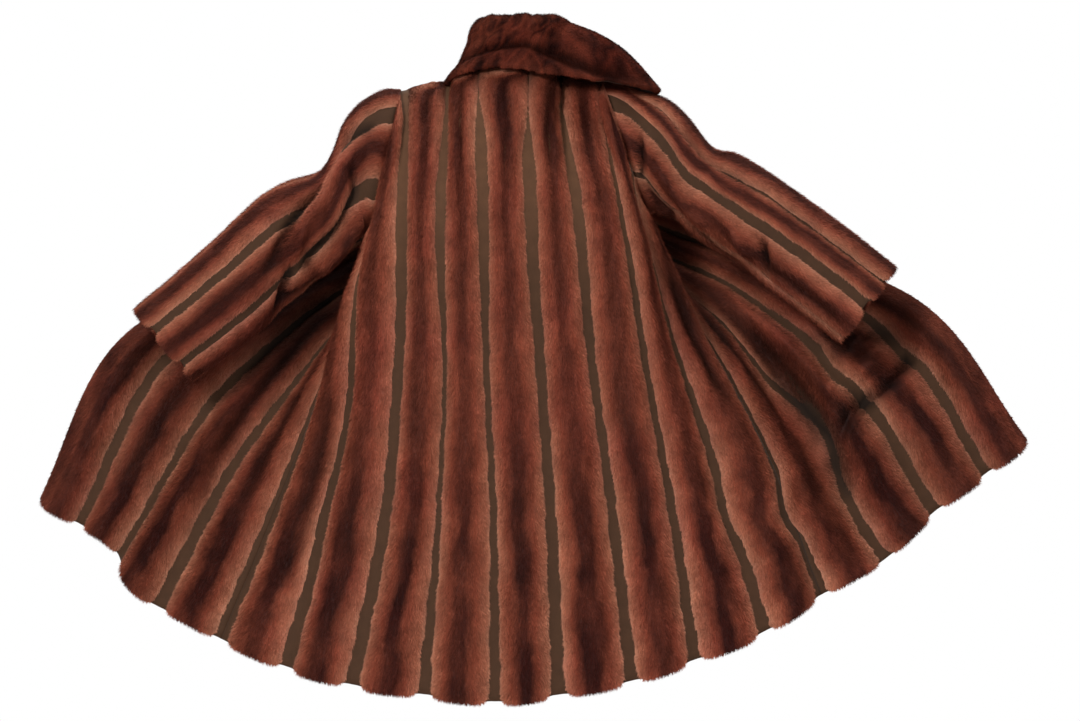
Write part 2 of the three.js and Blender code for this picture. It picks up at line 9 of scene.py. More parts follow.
import bmesh
import bpy
import numpy as np
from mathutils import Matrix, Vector


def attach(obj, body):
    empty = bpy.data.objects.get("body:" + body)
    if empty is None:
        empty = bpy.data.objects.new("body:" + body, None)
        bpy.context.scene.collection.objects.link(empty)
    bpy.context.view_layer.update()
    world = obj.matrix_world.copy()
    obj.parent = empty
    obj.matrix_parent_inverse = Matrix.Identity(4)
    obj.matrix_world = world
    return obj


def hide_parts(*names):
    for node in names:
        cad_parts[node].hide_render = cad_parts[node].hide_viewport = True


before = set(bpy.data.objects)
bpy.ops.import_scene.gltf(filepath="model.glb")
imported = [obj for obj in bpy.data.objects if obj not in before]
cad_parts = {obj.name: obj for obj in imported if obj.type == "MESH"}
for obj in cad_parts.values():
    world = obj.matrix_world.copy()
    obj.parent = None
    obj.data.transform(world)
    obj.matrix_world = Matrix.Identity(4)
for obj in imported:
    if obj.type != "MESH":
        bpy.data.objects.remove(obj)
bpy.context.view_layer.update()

bl_info = {
    "name": "Fur coat",
    "version": (1, 0, 0),
    "blender": (4, 5, 0),
    "location": "3D View > Sidebar > Coat",
    "description": "Swing coat of fur and leather strips",
    "category": "Object",
}

MM = 0.001

# Seam lines between the strips, from the left front edge to the right one, in millimetres,
# at the stations of the way down. They are the same as in the solids.
STATIONS = (0.0, 0.2, 0.46, 0.72, 1.0)
LINE_COLUMNS = ("chest_x", "chest_z", "waist_x", "waist_z", "hip_x", "hip_z", "hem_x", "hem_z")
LINES = (
    (-175, -165, -470, -335, -712, -486, -846, -760),
    (-170, -225, -430, -395, -630, -525, -770, -804),
    (-172, -275, -375, -440, -535, -595, -685, -845),
    (-222, -345, -355, -520, -483, -695, -612, -942),
    (-283, -430, -350, -605, -425, -800, -506, -1006),
    (-263, -377, -280, -600, -322, -818, -383, -1056),
    (-180, -240, -186, -515, -208, -790, -266, -1085),
    (-112, -230, -108, -510, -116, -795, -140, -1100),
    (-36, -222, -30, -510, -17, -800, -14, -1112),
    (46, -220, 66, -505, 86, -795, 99, -1100),
    (132, -225, 158, -500, 196, -785, 229, -1076),
    (207, -230, 252, -490, 300, -755, 342, -1040),
    (272, -345, 338, -560, 398, -765, 465, -993),
    (318, -380, 410, -550, 497, -722, 571, -928),
    (242, -305, 420, -465, 565, -662, 689, -860),
    (182, -245, 430, -385, 625, -545, 780, -780),
    (170, -200, 450, -335, 718, -470, 877, -712),
    (175, -145, 480, -285, 772, -414, 954, -652),
)
# Depth of the lines and the way they leave the top edge, from a front edge to the back's middle
DEPTH_COLUMNS = ("chest", "waist", "hip", "hem", "start_x", "start_y", "start_z")
DEPTHS = (
    (150, 118, 48, 45, -0.3, 0.75, -0.55),
    (148, 122, 55, 25, 0.0, 0.9, -0.4),
    (140, 116, 50, -15, 0.35, 0.85, -0.5),
    (108, 80, 10, -65, 0.45, 0.6, -0.7),
    (8, -15, -60, -115, -0.25, 0.0, -1.0),
    (-68, -90, -125, -165, 0.05, -0.35, -0.95),
    (-122, -135, -165, -205, 0.05, -0.9, -0.5),
    (-140, -152, -185, -230, 0.0, -0.85, -0.55),
    (-146, -160, -195, -242, 0.0, -0.8, -0.6),
)
STRIPS = len(LINES) - 1

# Leather strips: where each comes out of the gathers under the collar, as a share of the way down,
# and its half width at the chest, waist and hem, as a share of the pitch. The front edges have none.
LEATHER = (
    (0, 0, 0, 0),
    (0, 0.092, 0.092, 0.1),
    (0, 0.092, 0.08, 0.088),
    (0, 0.092, 0.084, 0.096),
    (0, 0.092, 0.092, 0.1),
    (0, 0.092, 0.104, 0.104),
    (0, 0.142, 0.11, 0.1),
    (0, 0.145, 0.058, 0.088),
    (0.02, 0.143, 0.072, 0.088),
    (0.05, 0.147, 0.1, 0.104),
    (0, 0.133, 0.088, 0.096),
    (0.01, 0.078, 0.08, 0.088),
    (0, 0.074, 0.076, 0.088),
    (0, 0.092, 0.088, 0.096),
    (0, 0.092, 0.056, 0.08),
    (0, 0.092, 0.084, 0.096),
    (0, 0.092, 0.088, 0.096),
    (0, 0, 0, 0),
)

# Wall, fur and hem in millimetres, as in the solids
WALL = 3.5
FUR = 11.0
HEM_DROP = 14.0

# Soft folds of the skirt: crest in strips, from and to down the coat, height, half width, and
# how much lower the hem hangs there
BODY_FOLDS = (
    (2.42, 0.62, 1.1, 26, 0.6, 34),
    (1.9, 0.7, 1.1, -20, 0.42, 0),
    (5.4, 0.35, 1.1, 14, 0.8, 0),
    (4.6, 0.3, 0.95, -14, 0.6, 0),
    (12.5, 0.3, 1.1, 18, 0.8, 0),
    (11.7, 0.1, 0.8, -14, 0.6, 0),
    (13.7, 0.4, 1.05, -24, 0.7, 0),
    (14.9, 0.5, 0.95, 24, 0.55, 0),
    (15.7, 0.55, 0.9, -24, 0.5, 0),
)
FLUTE_TOP = 2.5
FLUTE_HEM = 9.0

# Cross sections of the sleeves, outside of the fur: share of the way to the cuff, top and bottom
# point in the photograph's view, middle and half of their depth
LEFT_SLEEVE = (
    (0.0, -187, -27, -241, -299, 0, 75),
    (0.1, -236, -30, -261, -308, -2, 86),
    (0.18, -276, -66, -276, -318, -4, 90),
    (0.25, -298, -118, -288, -329, -6, 90),
    (0.31, -322, -148, -300, -341, -8, 88),
    (0.4, -378, -170, -320, -361, -11, 88),
    (0.52, -444, -211, -348, -390, -14, 88),
    (0.68, -515, -279, -415, -445, -20, 84),
    (0.85, -598, -353, -490, -502, -26, 80),
    (1.0, -666, -410, -550, -547, -30, 78),
)
RIGHT_SLEEVE = (
    (0.0, 182, -12, 258, -244, 0, 72),
    (0.1, 236, -20, 276, -250, -2, 84),
    (0.2, 298, -38, 294, -258, -4, 88),
    (0.32, 366, -97, 322, -274, -8, 87),
    (0.5, 446, -143, 374, -316, -14, 86),
    (0.68, 542, -209, 455, -368, -20, 84),
    (0.85, 626, -270, 532, -424, -26, 82),
    (1.0, 707, -334, 600, -478, -30, 80),
)
# Dents of both sleeves: share of the way to the cuff, turn, depth, half length and half width
SLEEVE_FOLDS = (
    (0.36, 0.06, 15, 0.07, 0.16),
    (0.46, 0.3, 14, 0.08, 0.16),
    (0.3, 0.42, 12, 0.1, 0.12),
    (0.62, 0.44, 10, 0.08, 0.12),
    (0.5, 0.75, 12, 0.09, 0.15),
)
SLEEVE_STRIPS = 6

# Soft ridges and creases, each from one place to another: height over the form and
# half width in millimetres. On the body a place is its strip coordinate and share of the way down,
# on a sleeve its share of the way to the cuff and its turn.
BODY_CREASES = (
    (1.2, 0.28, 1.55, 0.62, -15, 14),
    (2.0, 0.38, 2.1, 0.64, -12, 12),
    (2.35, 0.4, 2.75, 0.82, -11, 13),
    (1.5, 0.7, 1.45, 0.92, -8, 13),
    (3.4, 0.35, 3.5, 0.8, -10, 14),
    (4.58, 0.42, 4.62, 0.84, -11, 15),
    (5.5, 0.62, 5.6, 0.94, -7, 14),
    (6.3, 0.3, 6.4, 0.62, -6, 12),
    (11.3, 0.2, 11.2, 0.5, 6, 14),
    (12.4, 0.18, 12.6, 0.52, -14, 16),
    (13.4, 0.3, 13.8, 0.62, -12, 14),
    (14.3, 0.4, 14.2, 0.72, -12, 14),
    (14.72, 0.5, 14.62, 0.7, 18, 12),
    (14.62, 0.7, 14.9, 0.75, 15, 11),
    (15.18, 0.6, 15.1, 0.74, 14, 11),
    (15.15, 0.74, 15.85, 0.725, 15, 12),
    (15.95, 0.76, 15.15, 0.79, -22, 12),
    (15.15, 0.785, 14.4, 0.755, -24, 13),
    (14.4, 0.5, 14.3, 0.74, -16, 12),
    (15.35, 0.63, 15.3, 0.695, -20, 11),
    (15.35, 0.65, 15.8, 0.7, -14, 11),
    (14.15, 0.76, 14.1, 0.86, -10, 13),
    (10.4, 0.5, 10.5, 0.8, -6, 14),
    (8.5, 0.55, 8.45, 0.85, -5, 14),
    (0.5, 0.4, 0.6, 0.8, -8, 15),
    (16.4, 0.35, 16.5, 0.8, -8, 15),
)
LEFT_CREASES = (
    (0.2, 0.14, 0.56, 0.32, 22, 14),
    (0.27, 0.12, 0.63, 0.29, -20, 11),
    (0.53, 0.31, 0.66, 0.46, -20, 10),
    (0.04, 0.355, 0.45, 0.45, 18, 16),
    (0.14, 0.29, 0.5, 0.37, -19, 10),
    (0.18, 0.2, 0.15, 0.29, -15, 11),
    (0.23, 0.1, 0.07, 0.16, -12, 9),
    (0.44, 0.5, 0.62, 0.42, -13, 12),
    (0.62, 0.25, 0.98, 0.27, -5, 13),
    (0.66, 0.45, 0.97, 0.43, 5, 14),
    (0.7, 0.07, 0.97, 0.1, -4, 13),
    (0.2, 0.62, 0.55, 0.8, 11, 17),
    (0.26, 0.6, 0.6, 0.77, -10, 11),
    (0.1, 0.9, 0.35, 0.74, -8, 12),
)
RIGHT_CREASES = (
    (0.1, 0.21, 0.05, 0.33, -20, 11),
    (0.05, 0.36, 0.28, 0.5, -17, 11),
    (0.16, 0.3, 0.45, 0.4, 15, 15),
    (0.64, 0.29, 0.71, 0.42, -19, 10),
    (0.55, 0.33, 0.63, 0.38, 15, 14),
    (0.7, 0.37, 0.98, 0.38, -8, 12),
    (0.2, 0.13, 0.57, 0.16, -7, 10),
    (0.3, 0.45, 0.62, 0.5, -9, 11),
    (0.62, 0.16, 0.96, 0.15, -5, 12),
    (0.2, 0.64, 0.5, 0.82, 10, 17),
    (0.25, 0.61, 0.55, 0.79, -9, 11),
    (0.6, 0.72, 0.95, 0.7, -5, 13),
)
# About how far one strip, the way down, the way to the cuff and the way round a sleeve measure
BODY_SPAN = (95, 1050)
SLEEVE_SPAN = (620, 560)
# Sideways kinks of a leather strip: its line, where, how far as a share of the pitch, half length
KINKS = (
    (13, 0.8, -0.22, 0.06),
    (12, 0.76, -0.1, 0.06),
    (11, 0.3, 0.06, 0.1),
    (9, 0.22, 0.04, 0.08),
    (7, 0.5, 0.05, 0.12),
    (5, 0.7, -0.06, 0.1),
    (14, 0.7, 0.3, 0.1),
    (15, 0.7, -0.12, 0.05),
    (16, 0.73, -0.12, 0.05),
)
# Depth of a crease whose painted shade is full
DARK_DEPTH = 14
# Painted shade under the sleeves and in the swag: strip coordinate, share down, half sizes, strength
HOLLOWS = (
    (15.4, 0.34, 0.9, 0.05, 0.9),
    (13.8, 0.37, 0.8, 0.07, 0.6),
    (12.5, 0.24, 0.45, 0.09, 0.55),
    (1.4, 0.33, 0.8, 0.06, 0.9),
    (2.2, 0.45, 0.6, 0.09, 0.75),
    (1.5, 0.48, 0.5, 0.09, 0.5),
    (15.45, 0.645, 0.35, 0.022, 0.9),
    (15.2, 0.682, 0.12, 0.018, 1.0),
    (15.92, 0.7, 0.13, 0.035, 0.8),
    (14.62, 0.765, 0.2, 0.03, 0.9),
    (14.3, 0.745, 0.18, 0.06, 0.7),
)

# Neck line and armholes, in millimetres and degrees. The sleeve's leather lines are turns, their half
# widths a share of the pitch. The twist turns the strips round the arm near the shoulder.
NECK = {"half": 88, "back": 78, "front": 110, "rise": 14, "drop": 30, "end": 45}
LEFT = {"neck_z": -8, "shoulder": (-187, -27), "underarm": (-241, -299), "armhole": 75,
        "lines": (0.023, 0.19, 0.357, 0.523, 0.69, 0.857),
        "leather": (0.08, 0.105, 0.105, 0.09, 0.09, 0.09),
        "twist": -0.06, "twist_from": 0.2, "twist_to": 0.42,
        "sections": LEFT_SLEEVE, "creases": LEFT_CREASES, "mirror": False}
RIGHT = {"neck_z": 0, "shoulder": (182, -12), "underarm": (258, -244), "armhole": 72,
         "lines": (0.15, 0.258, 0.445, 0.63, 0.81, 0.98),
         "leather": (0.04, 0.125, 0.035, 0.09, 0.09, 0.09),
         "twist": -0.13, "twist_from": 0.0, "twist_to": 0.3,
         "sections": RIGHT_SLEEVE, "creases": RIGHT_CREASES, "mirror": True}
COLLAR_FOLD = {"x": 36, "y": 4, "half_x": 74, "half_y": 76, "half_width": 9, "inside": 24, "outside": 7}
# Fall of the collar by the angle round the neck: how far its edge stands out of the neck line, and
# the heights of the edge and of the fold
COLLAR_FALL = (
    (-45, 30, -16, 50),
    (0, 11, -4, 92),
    (45, 28, 13, 99),
    (90, 34, 16, 100),
    (135, 78, 12, 100),
    (180, 187, -21, 92),
    (225, 84, -40, 52),
)
FALL_BULGE = 15
# The crease across the fall by the angle, sunk in and darkened with painted shade: where on the way to the
# edge, and its depth
COLLAR_CREASE = (
    (-60, 0.88, 0),
    (5, 0.88, 0),
    (30, 0.89, 6),
    (56, 0.86, 7),
    (86, 0.83, 7),
    (107, 0.81, 8),
    (125, 0.86, 10),
    (141, 0.92, 11),
    (155, 0.97, 7),
    (170, 0.97, 0),
    (240, 0.97, 0),
)
CREASE_HALF = 0.045
# How far the soft fall sinks onto the shoulders and towards the neck at its edge, in millimetres
COLLAR_SETTLE = (
    (-45, 6, 0),
    (0, 12, 0),
    (45, 9, 8),
    (90, -1, 4),
    (125, 9, 16),
    (160, 8, 6),
    (180, 6, 0),
    (225, 14, 0),
)
# How far the collar goes on past the neck line's ends, in degrees, and the share of its rows before
# the fur rolls over at the edge
COLLAR_END = 6.0
COLLAR_FLAT = 0.88

# The shell's edge is notched at each leather strip: from where to where across a strip, and how deep
NOTCH_EDGE = 0.08
NOTCH_WIDTH = 0.14
NOTCH_FLOOR = 0.32
# How much lighter the leather is at the top of the body, and how much fainter the stripes are there
TOP_LEATHER = 0.85
TOP_FADE = 0.45
# How much darker the sleeves are than the body, and the painted shade along their lower side
SLEEVE_SHADE = 0.08
UNDER_SHADE = 0.2
# How much darker the fur of the held-out fronts is below the waist
OUTER_SHADE = 0.2
# How far the dark stripe of the outermost strips goes on to their free edge, as a place across
FREE_EDGE = 0.32
# Places of the shell's grid lines across a strip, and how many lines a rib has
STRIP_SHARES = (0.0, 0.06, 0.14, 0.28, 0.5, 0.72, 0.86, 0.94)
RIB_COLUMNS = 13
# How deeply each strip is folded along its middle at the top, from the left front edge
GATHERS = (0.0, 0.3, 0.4, 0.3, 0.3, 0.6, 0.9, 1.0, 1.0, 1.0, 0.9, 0.5, 0.3, 0.3, 0.4, 0.3, 0.0)
# A rib's last share of rows rolls over at its end, this far in millimetres; its edges are sunk in the shell
END_ROWS = 0.035
END_ROLL = 3.0
RIB_SUNK = 1.2
# How deeply a strip is folded along its middle under the collar
GATHER_DEPTH = 8.0
# How far a panel's shell stays inside its side seams, in millimetres
SEAM_ROOM = 0.03
# Rows and columns of the grids
BODY_ROWS = 84
SLEEVE_ROWS = 64
COLLAR_ROWS = 34
COLLAR_COLS = 120


def column(table, names, name):
    return np.array([row[names.index(name)] for row in table], dtype=float)


def smooth(t, low=0.0, high=1.0):
    s = np.clip((np.asarray(t, dtype=float) - low) / (high - low), 0.0, 1.0)
    return s * s * (3 - 2 * s)


def mix(a, b, t):
    return a + (b - a) * t


def spline(knots, values, t, first_slope=None):
    """Smooth curve through values at knots. Each value may be an array as long as t."""
    t = np.asarray(t, dtype=float)
    values = [np.broadcast_to(np.asarray(v, dtype=float), t.shape) for v in values]
    slopes = []
    for i in range(len(knots)):
        a, b = max(i - 1, 0), min(i + 1, len(knots) - 1)
        slopes.append((values[b] - values[a]) / (knots[b] - knots[a]))
    if first_slope is not None:
        slopes[0] = np.broadcast_to(first_slope, t.shape)
    out = np.zeros(t.shape)
    for k in range(len(knots) - 1):
        inside = (t >= knots[k]) | (k == 0)
        inside &= (t < knots[k + 1]) | (k == len(knots) - 2)
        h = knots[k + 1] - knots[k]
        s = (t - knots[k]) / h
        s2, s3 = s * s, s * s * s
        here = (
            values[k] * (2 * s3 - 3 * s2 + 1)
            + slopes[k] * h * (s3 - 2 * s2 + s)
            + values[k + 1] * (3 * s2 - 2 * s3)
            + slopes[k + 1] * h * (s3 - s2)
        )
        out = np.where(inside, here, out)
    return out


def read_table(table, t):
    """Each column after the first as a smooth curve over the first one, at t."""
    knots, *columns = zip(*table)
    return [spline(knots, values, t) for values in columns]


def across(values, u):
    """Smooth curve through evenly spaced values, for the way across the strips."""
    values = np.asarray(values, dtype=float)
    padded = np.concatenate([[2 * values[0] - values[1]], values, [2 * values[-1] - values[-2]]])
    i = np.clip(np.floor(u).astype(int), 0, len(values) - 2)
    s = u - i
    a, b, c, d = (padded[i + k] for k in range(4))
    return 0.5 * (
        2 * b + (c - a) * s + (2 * a - 5 * b + 4 * c - d) * s * s + (3 * b - a - 3 * c + d) * s * s * s
    )


def unit(vectors):
    return vectors / np.maximum(np.linalg.norm(vectors, axis=-1, keepdims=True), 1e-12)


def armhole_point(side, angle, grow=0.0):
    """Point of an armhole by its angle from the shoulder, positive over the back."""
    top = np.array([side["shoulder"][0], 0.0, side["shoulder"][1]])
    low = np.array([side["underarm"][0], 0.0, side["underarm"][1]])
    middle = (top + low) / 2
    half = np.linalg.norm(top - middle)
    up = (top - middle) / half
    angle = np.asarray(angle, dtype=float)[..., None]
    depth = np.array([0.0, -1.0, 0.0])
    return middle + up * (half + grow) * np.cos(angle) + depth * (side["armhole"] + grow) * np.sin(angle)


def armhole_out(side, angle):
    return unit(armhole_point(side, angle, 1.0) - armhole_point(side, angle))


def neck_point(angle):
    """Point of the neck line: 0 at the left shoulder, a half turn at the right one, over the back."""
    angle = np.asarray(angle, dtype=float)
    behind = np.sin(angle) >= 0
    share = (1 - np.cos(angle)) / 2
    fall = NECK["drop"] / math.sin(math.radians(NECK["end"]))
    height = mix(LEFT["neck_z"], RIGHT["neck_z"], share)
    height = height + np.where(behind, NECK["rise"], fall) * np.sin(angle)
    depth = -np.where(behind, NECK["back"], NECK["front"]) * np.sin(angle)
    return np.stack([-NECK["half"] * np.cos(angle), depth, height], -1)


def neck_out(angle):
    angle = np.asarray(angle, dtype=float)
    return unit(np.stack([-np.cos(angle), -0.8 * np.sin(angle), np.full(angle.shape, 0.9)], -1))


def top_of(u):
    """Where one column of the body starts and the way its cut edge faces there."""
    mirrored = u > STRIPS / 2
    side = RIGHT if mirrored else LEFT
    w = STRIPS - u if mirrored else u
    end = math.radians(NECK["end"])
    neck_angle = math.pi if mirrored else 0.0

    def turned(angle):
        return math.pi - angle if mirrored else angle

    def shoulder(share):
        point = mix(neck_point(neck_angle), armhole_point(side, 0.0), share)
        out = mix(neck_out(neck_angle), armhole_out(side, 0.0), float(smooth(share, 0, 0.5)))
        out[1] = 0.0
        return point, unit(out)

    if w < 1:
        return neck_point(turned(-end * (1 - w))), neck_out(turned(-end * (1 - w)))
    if w < 2:
        return shoulder(w - 1)
    if w < 4:
        angle = -math.pi * float(spline((2, 3, 4), (0, 0.52, 1), w))
        return armhole_point(side, angle), armhole_out(side, angle)
    if w < 6:
        angle = math.pi * float(spline((4, 5, 6), (1, 0.6, 0), w))
        return armhole_point(side, angle), armhole_out(side, angle)
    if w < 7:
        return shoulder(7 - w)
    angle = turned((w - 7) / 3 * math.pi)
    return neck_point(angle), neck_out(angle)


TOP_U = np.linspace(0, STRIPS, STRIPS * 60 + 1)
TOP_ROWS = [top_of(u) for u in TOP_U]
TOP_POINTS = np.array([row[0] for row in TOP_ROWS])
TOP_OUTS = np.array([row[1] for row in TOP_ROWS])


def read_top(rows, u):
    return np.stack([np.interp(u, TOP_U, rows[:, axis]) for axis in range(3)], -1)


def mirrored_depth(name):
    half = column(DEPTHS, DEPTH_COLUMNS, name)
    sign = -1.0 if name == "start_x" else 1.0
    return np.concatenate([half, sign * half[::-1]])


BODY_X = [column(LINES, LINE_COLUMNS, s + "_x") for s in ("chest", "waist", "hip", "hem")]
BODY_Y = [mirrored_depth(s) for s in ("chest", "waist", "hip", "hem")]
BODY_Z = [column(LINES, LINE_COLUMNS, s + "_z") for s in ("chest", "waist", "hip", "hem")]
BODY_START = [mirrored_depth(s) for s in ("start_x", "start_y", "start_z")]


def body_line(u, v):
    """Lining side of the body before its folds, at strip coordinate u and share v of the way down."""
    top = read_top(TOP_POINTS, u)
    first = np.stack([across(rows[0], u) for rows in (BODY_X, BODY_Y, BODY_Z)], -1)
    start = unit(np.stack([across(rows, u) for rows in BODY_START], -1))
    start = start * 1.15 * np.linalg.norm(first - top, axis=-1)[..., None] / STATIONS[1]
    axes = []
    for axis, rows in enumerate((BODY_X, BODY_Y, BODY_Z)):
        values = [top[..., axis]] + [across(row, u) for row in rows]
        axes.append(spline(STATIONS, values, v, start[..., axis]))
    return np.stack(axes, -1)


def normal_of(surface, u, v, u_max):
    step = 0.01
    du = surface(np.minimum(u + step, u_max), v) - surface(np.maximum(u - step, 0), v)
    dv = surface(u, np.minimum(v + step, 1)) - surface(u, np.maximum(v - step, 0))
    return unit(np.cross(dv, du))


def fold_height(u, v):
    height = -np.cos(2 * np.pi * u) * mix(FLUTE_TOP, FLUTE_HEM, smooth(v, 0.1, 1)) * smooth(v, 0, 0.15)
    for at, start, end, tall, half, _ in BODY_FOLDS:
        side = (u - at) / half
        rise = smooth(v, start, (start + min(end, 1)) / 2) * (1 - smooth(v, end - 0.12, end))
        height = height + tall * np.exp(-side * side) * rise
    return height


def body_normal(u, v):
    free = normal_of(body_line, u, v, STRIPS)
    return unit(mix(read_top(TOP_OUTS, u), free, smooth(v, 0, 0.06)[..., None]))


def body_surface(u, v):
    return body_line(u, v) + body_normal(u, v) * fold_height(u, v)[..., None]


def fold_drop(u):
    drop = np.zeros(np.shape(u))
    for at, _, _, _, half, lower in BODY_FOLDS:
        drop = drop + lower * np.exp(-(((u - at) / half) ** 2))
    return drop


def crease_height(creases, a, b, span, closed=False):
    """Height of the listed ridges and creases at a place."""
    total = np.zeros(np.shape(a))
    for from_a, from_b, to_a, to_b, height, half in creases:
        beside_a, beside_b = a - from_a, b - from_b
        if closed:
            beside_b = (beside_b + 0.5) % 1 - 0.5
        run = np.array([(to_a - from_a) * span[0], (to_b - from_b) * span[1]])
        length = run @ run
        x, y = beside_a * span[0], beside_b * span[1]
        share = np.clip((x * run[0] + y * run[1]) / length, 0, 1)
        away = (x - share * run[0]) ** 2 + (y - share * run[1]) ** 2
        total = total + height * np.exp(-away / half**2) * (1 - 0.8 * (2 * share - 1) ** 4)
    return total


def line_place(line, v):
    """Strip coordinate of a leather line, with its kinks."""
    place = np.full(np.shape(v), float(line))
    for at_line, at, shift, half in KINKS:
        if at_line == line:
            place = place + shift * np.exp(-(((v - at) / half) ** 2))
    return place


def body_painted_shade(u, v):
    """Painted shade of a place of the body, from 0 to 1, in its creases, under the sleeves and in the swag.
    """
    dark = np.clip(-crease_height(BODY_CREASES, u, v, BODY_SPAN) / DARK_DEPTH, 0, 1)
    for at_u, at_v, half_u, half_v, strength in HOLLOWS:
        dark = dark + strength * np.exp(-(((u - at_u) / half_u) ** 2) - ((v - at_v) / half_v) ** 2)
    return np.clip(dark, 0, 1)


def body_down(u, v):
    low = np.clip(v, 0.0, 0.99)
    return unit(body_line(u, low + 0.01) - body_line(u, low))


def body_beside(u, v):
    """Way across the strips, from the left front edge to the right one."""
    return unit(body_line(np.minimum(u + 0.01, STRIPS), v) - body_line(np.maximum(u - 0.01, 0), v))


def body_point(u, v, fur, height):
    """A point of the body, height millimetres out of its lining side; fur is 1 on a strip's middle."""
    drop = HEM_DROP * np.sqrt(fur) * smooth(v, 0.86, 1) + fold_drop(u) * smooth(v, 0.8, 1)
    place = body_surface(u, v) + body_down(u, v) * drop[..., None]
    height = height + crease_height(BODY_CREASES, u, v, BODY_SPAN) * smooth(v, 0, 0.1)
    return place + body_normal(u, v) * height[..., None]


def sleeve_surface(side, turn, s):
    """Lining side of a sleeve, by its turn from the top over the back and the share to the cuff."""
    top_x, top_z, bot_x, bot_z, mid_y, half_y = read_table(side["sections"], s)
    zero = np.zeros(np.shape(s))
    top = np.stack([top_x, zero, top_z], -1)
    low = np.stack([bot_x, zero, bot_z], -1)
    middle = (top + low) / 2
    size = np.linalg.norm(top - middle, axis=-1)
    up = (top - middle) / size[..., None]
    skin = (WALL + FUR) * smooth(s, 0, 0.12)
    dent = np.zeros(np.shape(s))
    for at, fold_turn, depth, long, wide in SLEEVE_FOLDS:
        beside = (turn - fold_turn + 1.5) % 1 - 0.5
        dent = dent + depth * np.exp(-((beside / wide) ** 2) - ((s - at) / long) ** 2)
    angle = 2 * np.pi * turn
    depth = np.stack([zero, mid_y - (half_y - skin - dent) * np.sin(angle), zero], -1)
    return middle + up * ((size - skin - dent) * np.cos(angle))[..., None] + depth


def sleeve_frame(side, turn, s):
    """Point, way towards the cuff and way out of a sleeve."""
    step = 0.004
    around = sleeve_surface(side, turn + step, s) - sleeve_surface(side, turn - step, s)
    after, before = np.minimum(s + step, 1), np.maximum(s - step, 0)
    along = unit(sleeve_surface(side, turn, after) - sleeve_surface(side, turn, before))
    sign = 1.0 if side["mirror"] else -1.0
    free = unit(np.cross(around, along)) * sign
    out = armhole_out(side, 2 * np.pi * turn)
    normal = unit(mix(out, free, smooth(s, 0, 0.08)[..., None]))
    return sleeve_surface(side, turn, s), along, normal


def collar_surface(angle, v):
    """Hidden side of the collar: up the stand, over the fold and down the fall."""
    seam = neck_point(angle)
    out, edge_z, fold_z = read_table(COLLAR_FALL, np.degrees(angle))
    away = np.stack([-np.cos(angle), -np.sin(angle), np.zeros(np.shape(angle))], -1)

    def fold_at(wider, lower):
        x = COLLAR_FOLD["x"] - (COLLAR_FOLD["half_x"] + wider) * np.cos(angle)
        y = COLLAR_FOLD["y"] - (COLLAR_FOLD["half_y"] + wider) * np.sin(angle)
        return np.stack([x, y, fold_z - lower], -1)

    half = COLLAR_FOLD["half_width"]
    stand = fold_at(-half, COLLAR_FOLD["inside"])
    turned = fold_at(half, COLLAR_FOLD["outside"])
    edge = seam + away * out[..., None]
    edge[..., 2] = edge_z
    fall = (turned + edge) / 2 + away * mix(-9, FALL_BULGE, smooth(out, 8, 150))[..., None]
    fall[..., 2] += FALL_BULGE * smooth(out, 20, 150)
    path = [seam, stand, fold_at(0, 0), turned, fall, edge]
    knots = (0, 0.34, 0.46, 0.56, 0.8, 1)
    return np.stack([spline(knots, [p[..., axis] for p in path], v) for axis in range(3)], -1)


def collar_frame(angle, v):
    around = collar_surface(angle + 0.01, v) - collar_surface(angle - 0.01, v)
    after, before = np.minimum(v + 0.01, 1), np.maximum(v - 0.01, 0)
    along = unit(collar_surface(angle, after) - collar_surface(angle, before))
    return collar_surface(angle, v), along, unit(np.cross(along, around))


def ripple(a, b, seed):
    """Soft unevenness between -1 and 1 over two coordinates, the same on each run."""
    total = np.zeros(np.broadcast(a, b).shape)
    for k in range(1, 5):
        phase = math.sin(seed * 12.9898 + k * 78.233) * 43.7
        total = total + np.sin(a * (1.7 * k + 0.3) + b * (1.1 * k + 0.9) + phase) / k
    return total / 2.1


def mesh_of(bm, name):
    mesh = bpy.data.meshes.new(name)
    bm.to_mesh(mesh)
    bm.free()
    return mesh


def put_in_scene(name, data):
    made = bpy.data.objects.new(name, data)
    bpy.context.scene.collection.objects.link(made)
    return made


def grid_mesh(name, columns, rows, points, weld=False):
    """A grid of faces whose corners are moved to points(column, row), rows running down."""
    bm = bmesh.new()
    bmesh.ops.create_grid(bm, x_segments=columns - 1, y_segments=rows - 1, size=0.5, calc_uvs=True)
    bm.verts.ensure_lookup_table()
    flat = np.array([vert.co[:2] for vert in bm.verts])
    i = np.rint((flat[:, 0] + 0.5) * (columns - 1)).astype(int)
    j = np.rint((0.5 - flat[:, 1]) * (rows - 1)).astype(int)
    places, attributes = points(i / (columns - 1), j / (rows - 1))
    for vert, place in zip(bm.verts, places * MM):
        vert.co = place
    for key, values in attributes.items():
        kinds = bm.verts.layers.float if values.ndim == 1 else bm.verts.layers.float_vector
        layer = kinds.new(key)
        for vert, value in zip(bm.verts, values):
            vert[layer] = value
    if weld:
        bmesh.ops.remove_doubles(bm, verts=bm.verts, dist=2e-5)
    for face in bm.faces:
        face.smooth = True
    return mesh_of(bm, name)


def add_object(name, mesh, *materials):
    made = put_in_scene(name, mesh)
    for material in materials:
        mesh.materials.append(material)
    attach(made, "root")
    return made


def join_meshes(name, meshes, material):
    """One object of several meshes, with their attributes kept."""
    bm = bmesh.new()
    for mesh in meshes:
        bm.from_mesh(mesh)
        bpy.data.meshes.remove(mesh)
    return add_object(name, mesh_of(bm, name), material)


def srgb(colour):
    return tuple(c / 12.92 if c <= 0.04045 else ((c + 0.055) / 1.055) ** 2.4 for c in colour)


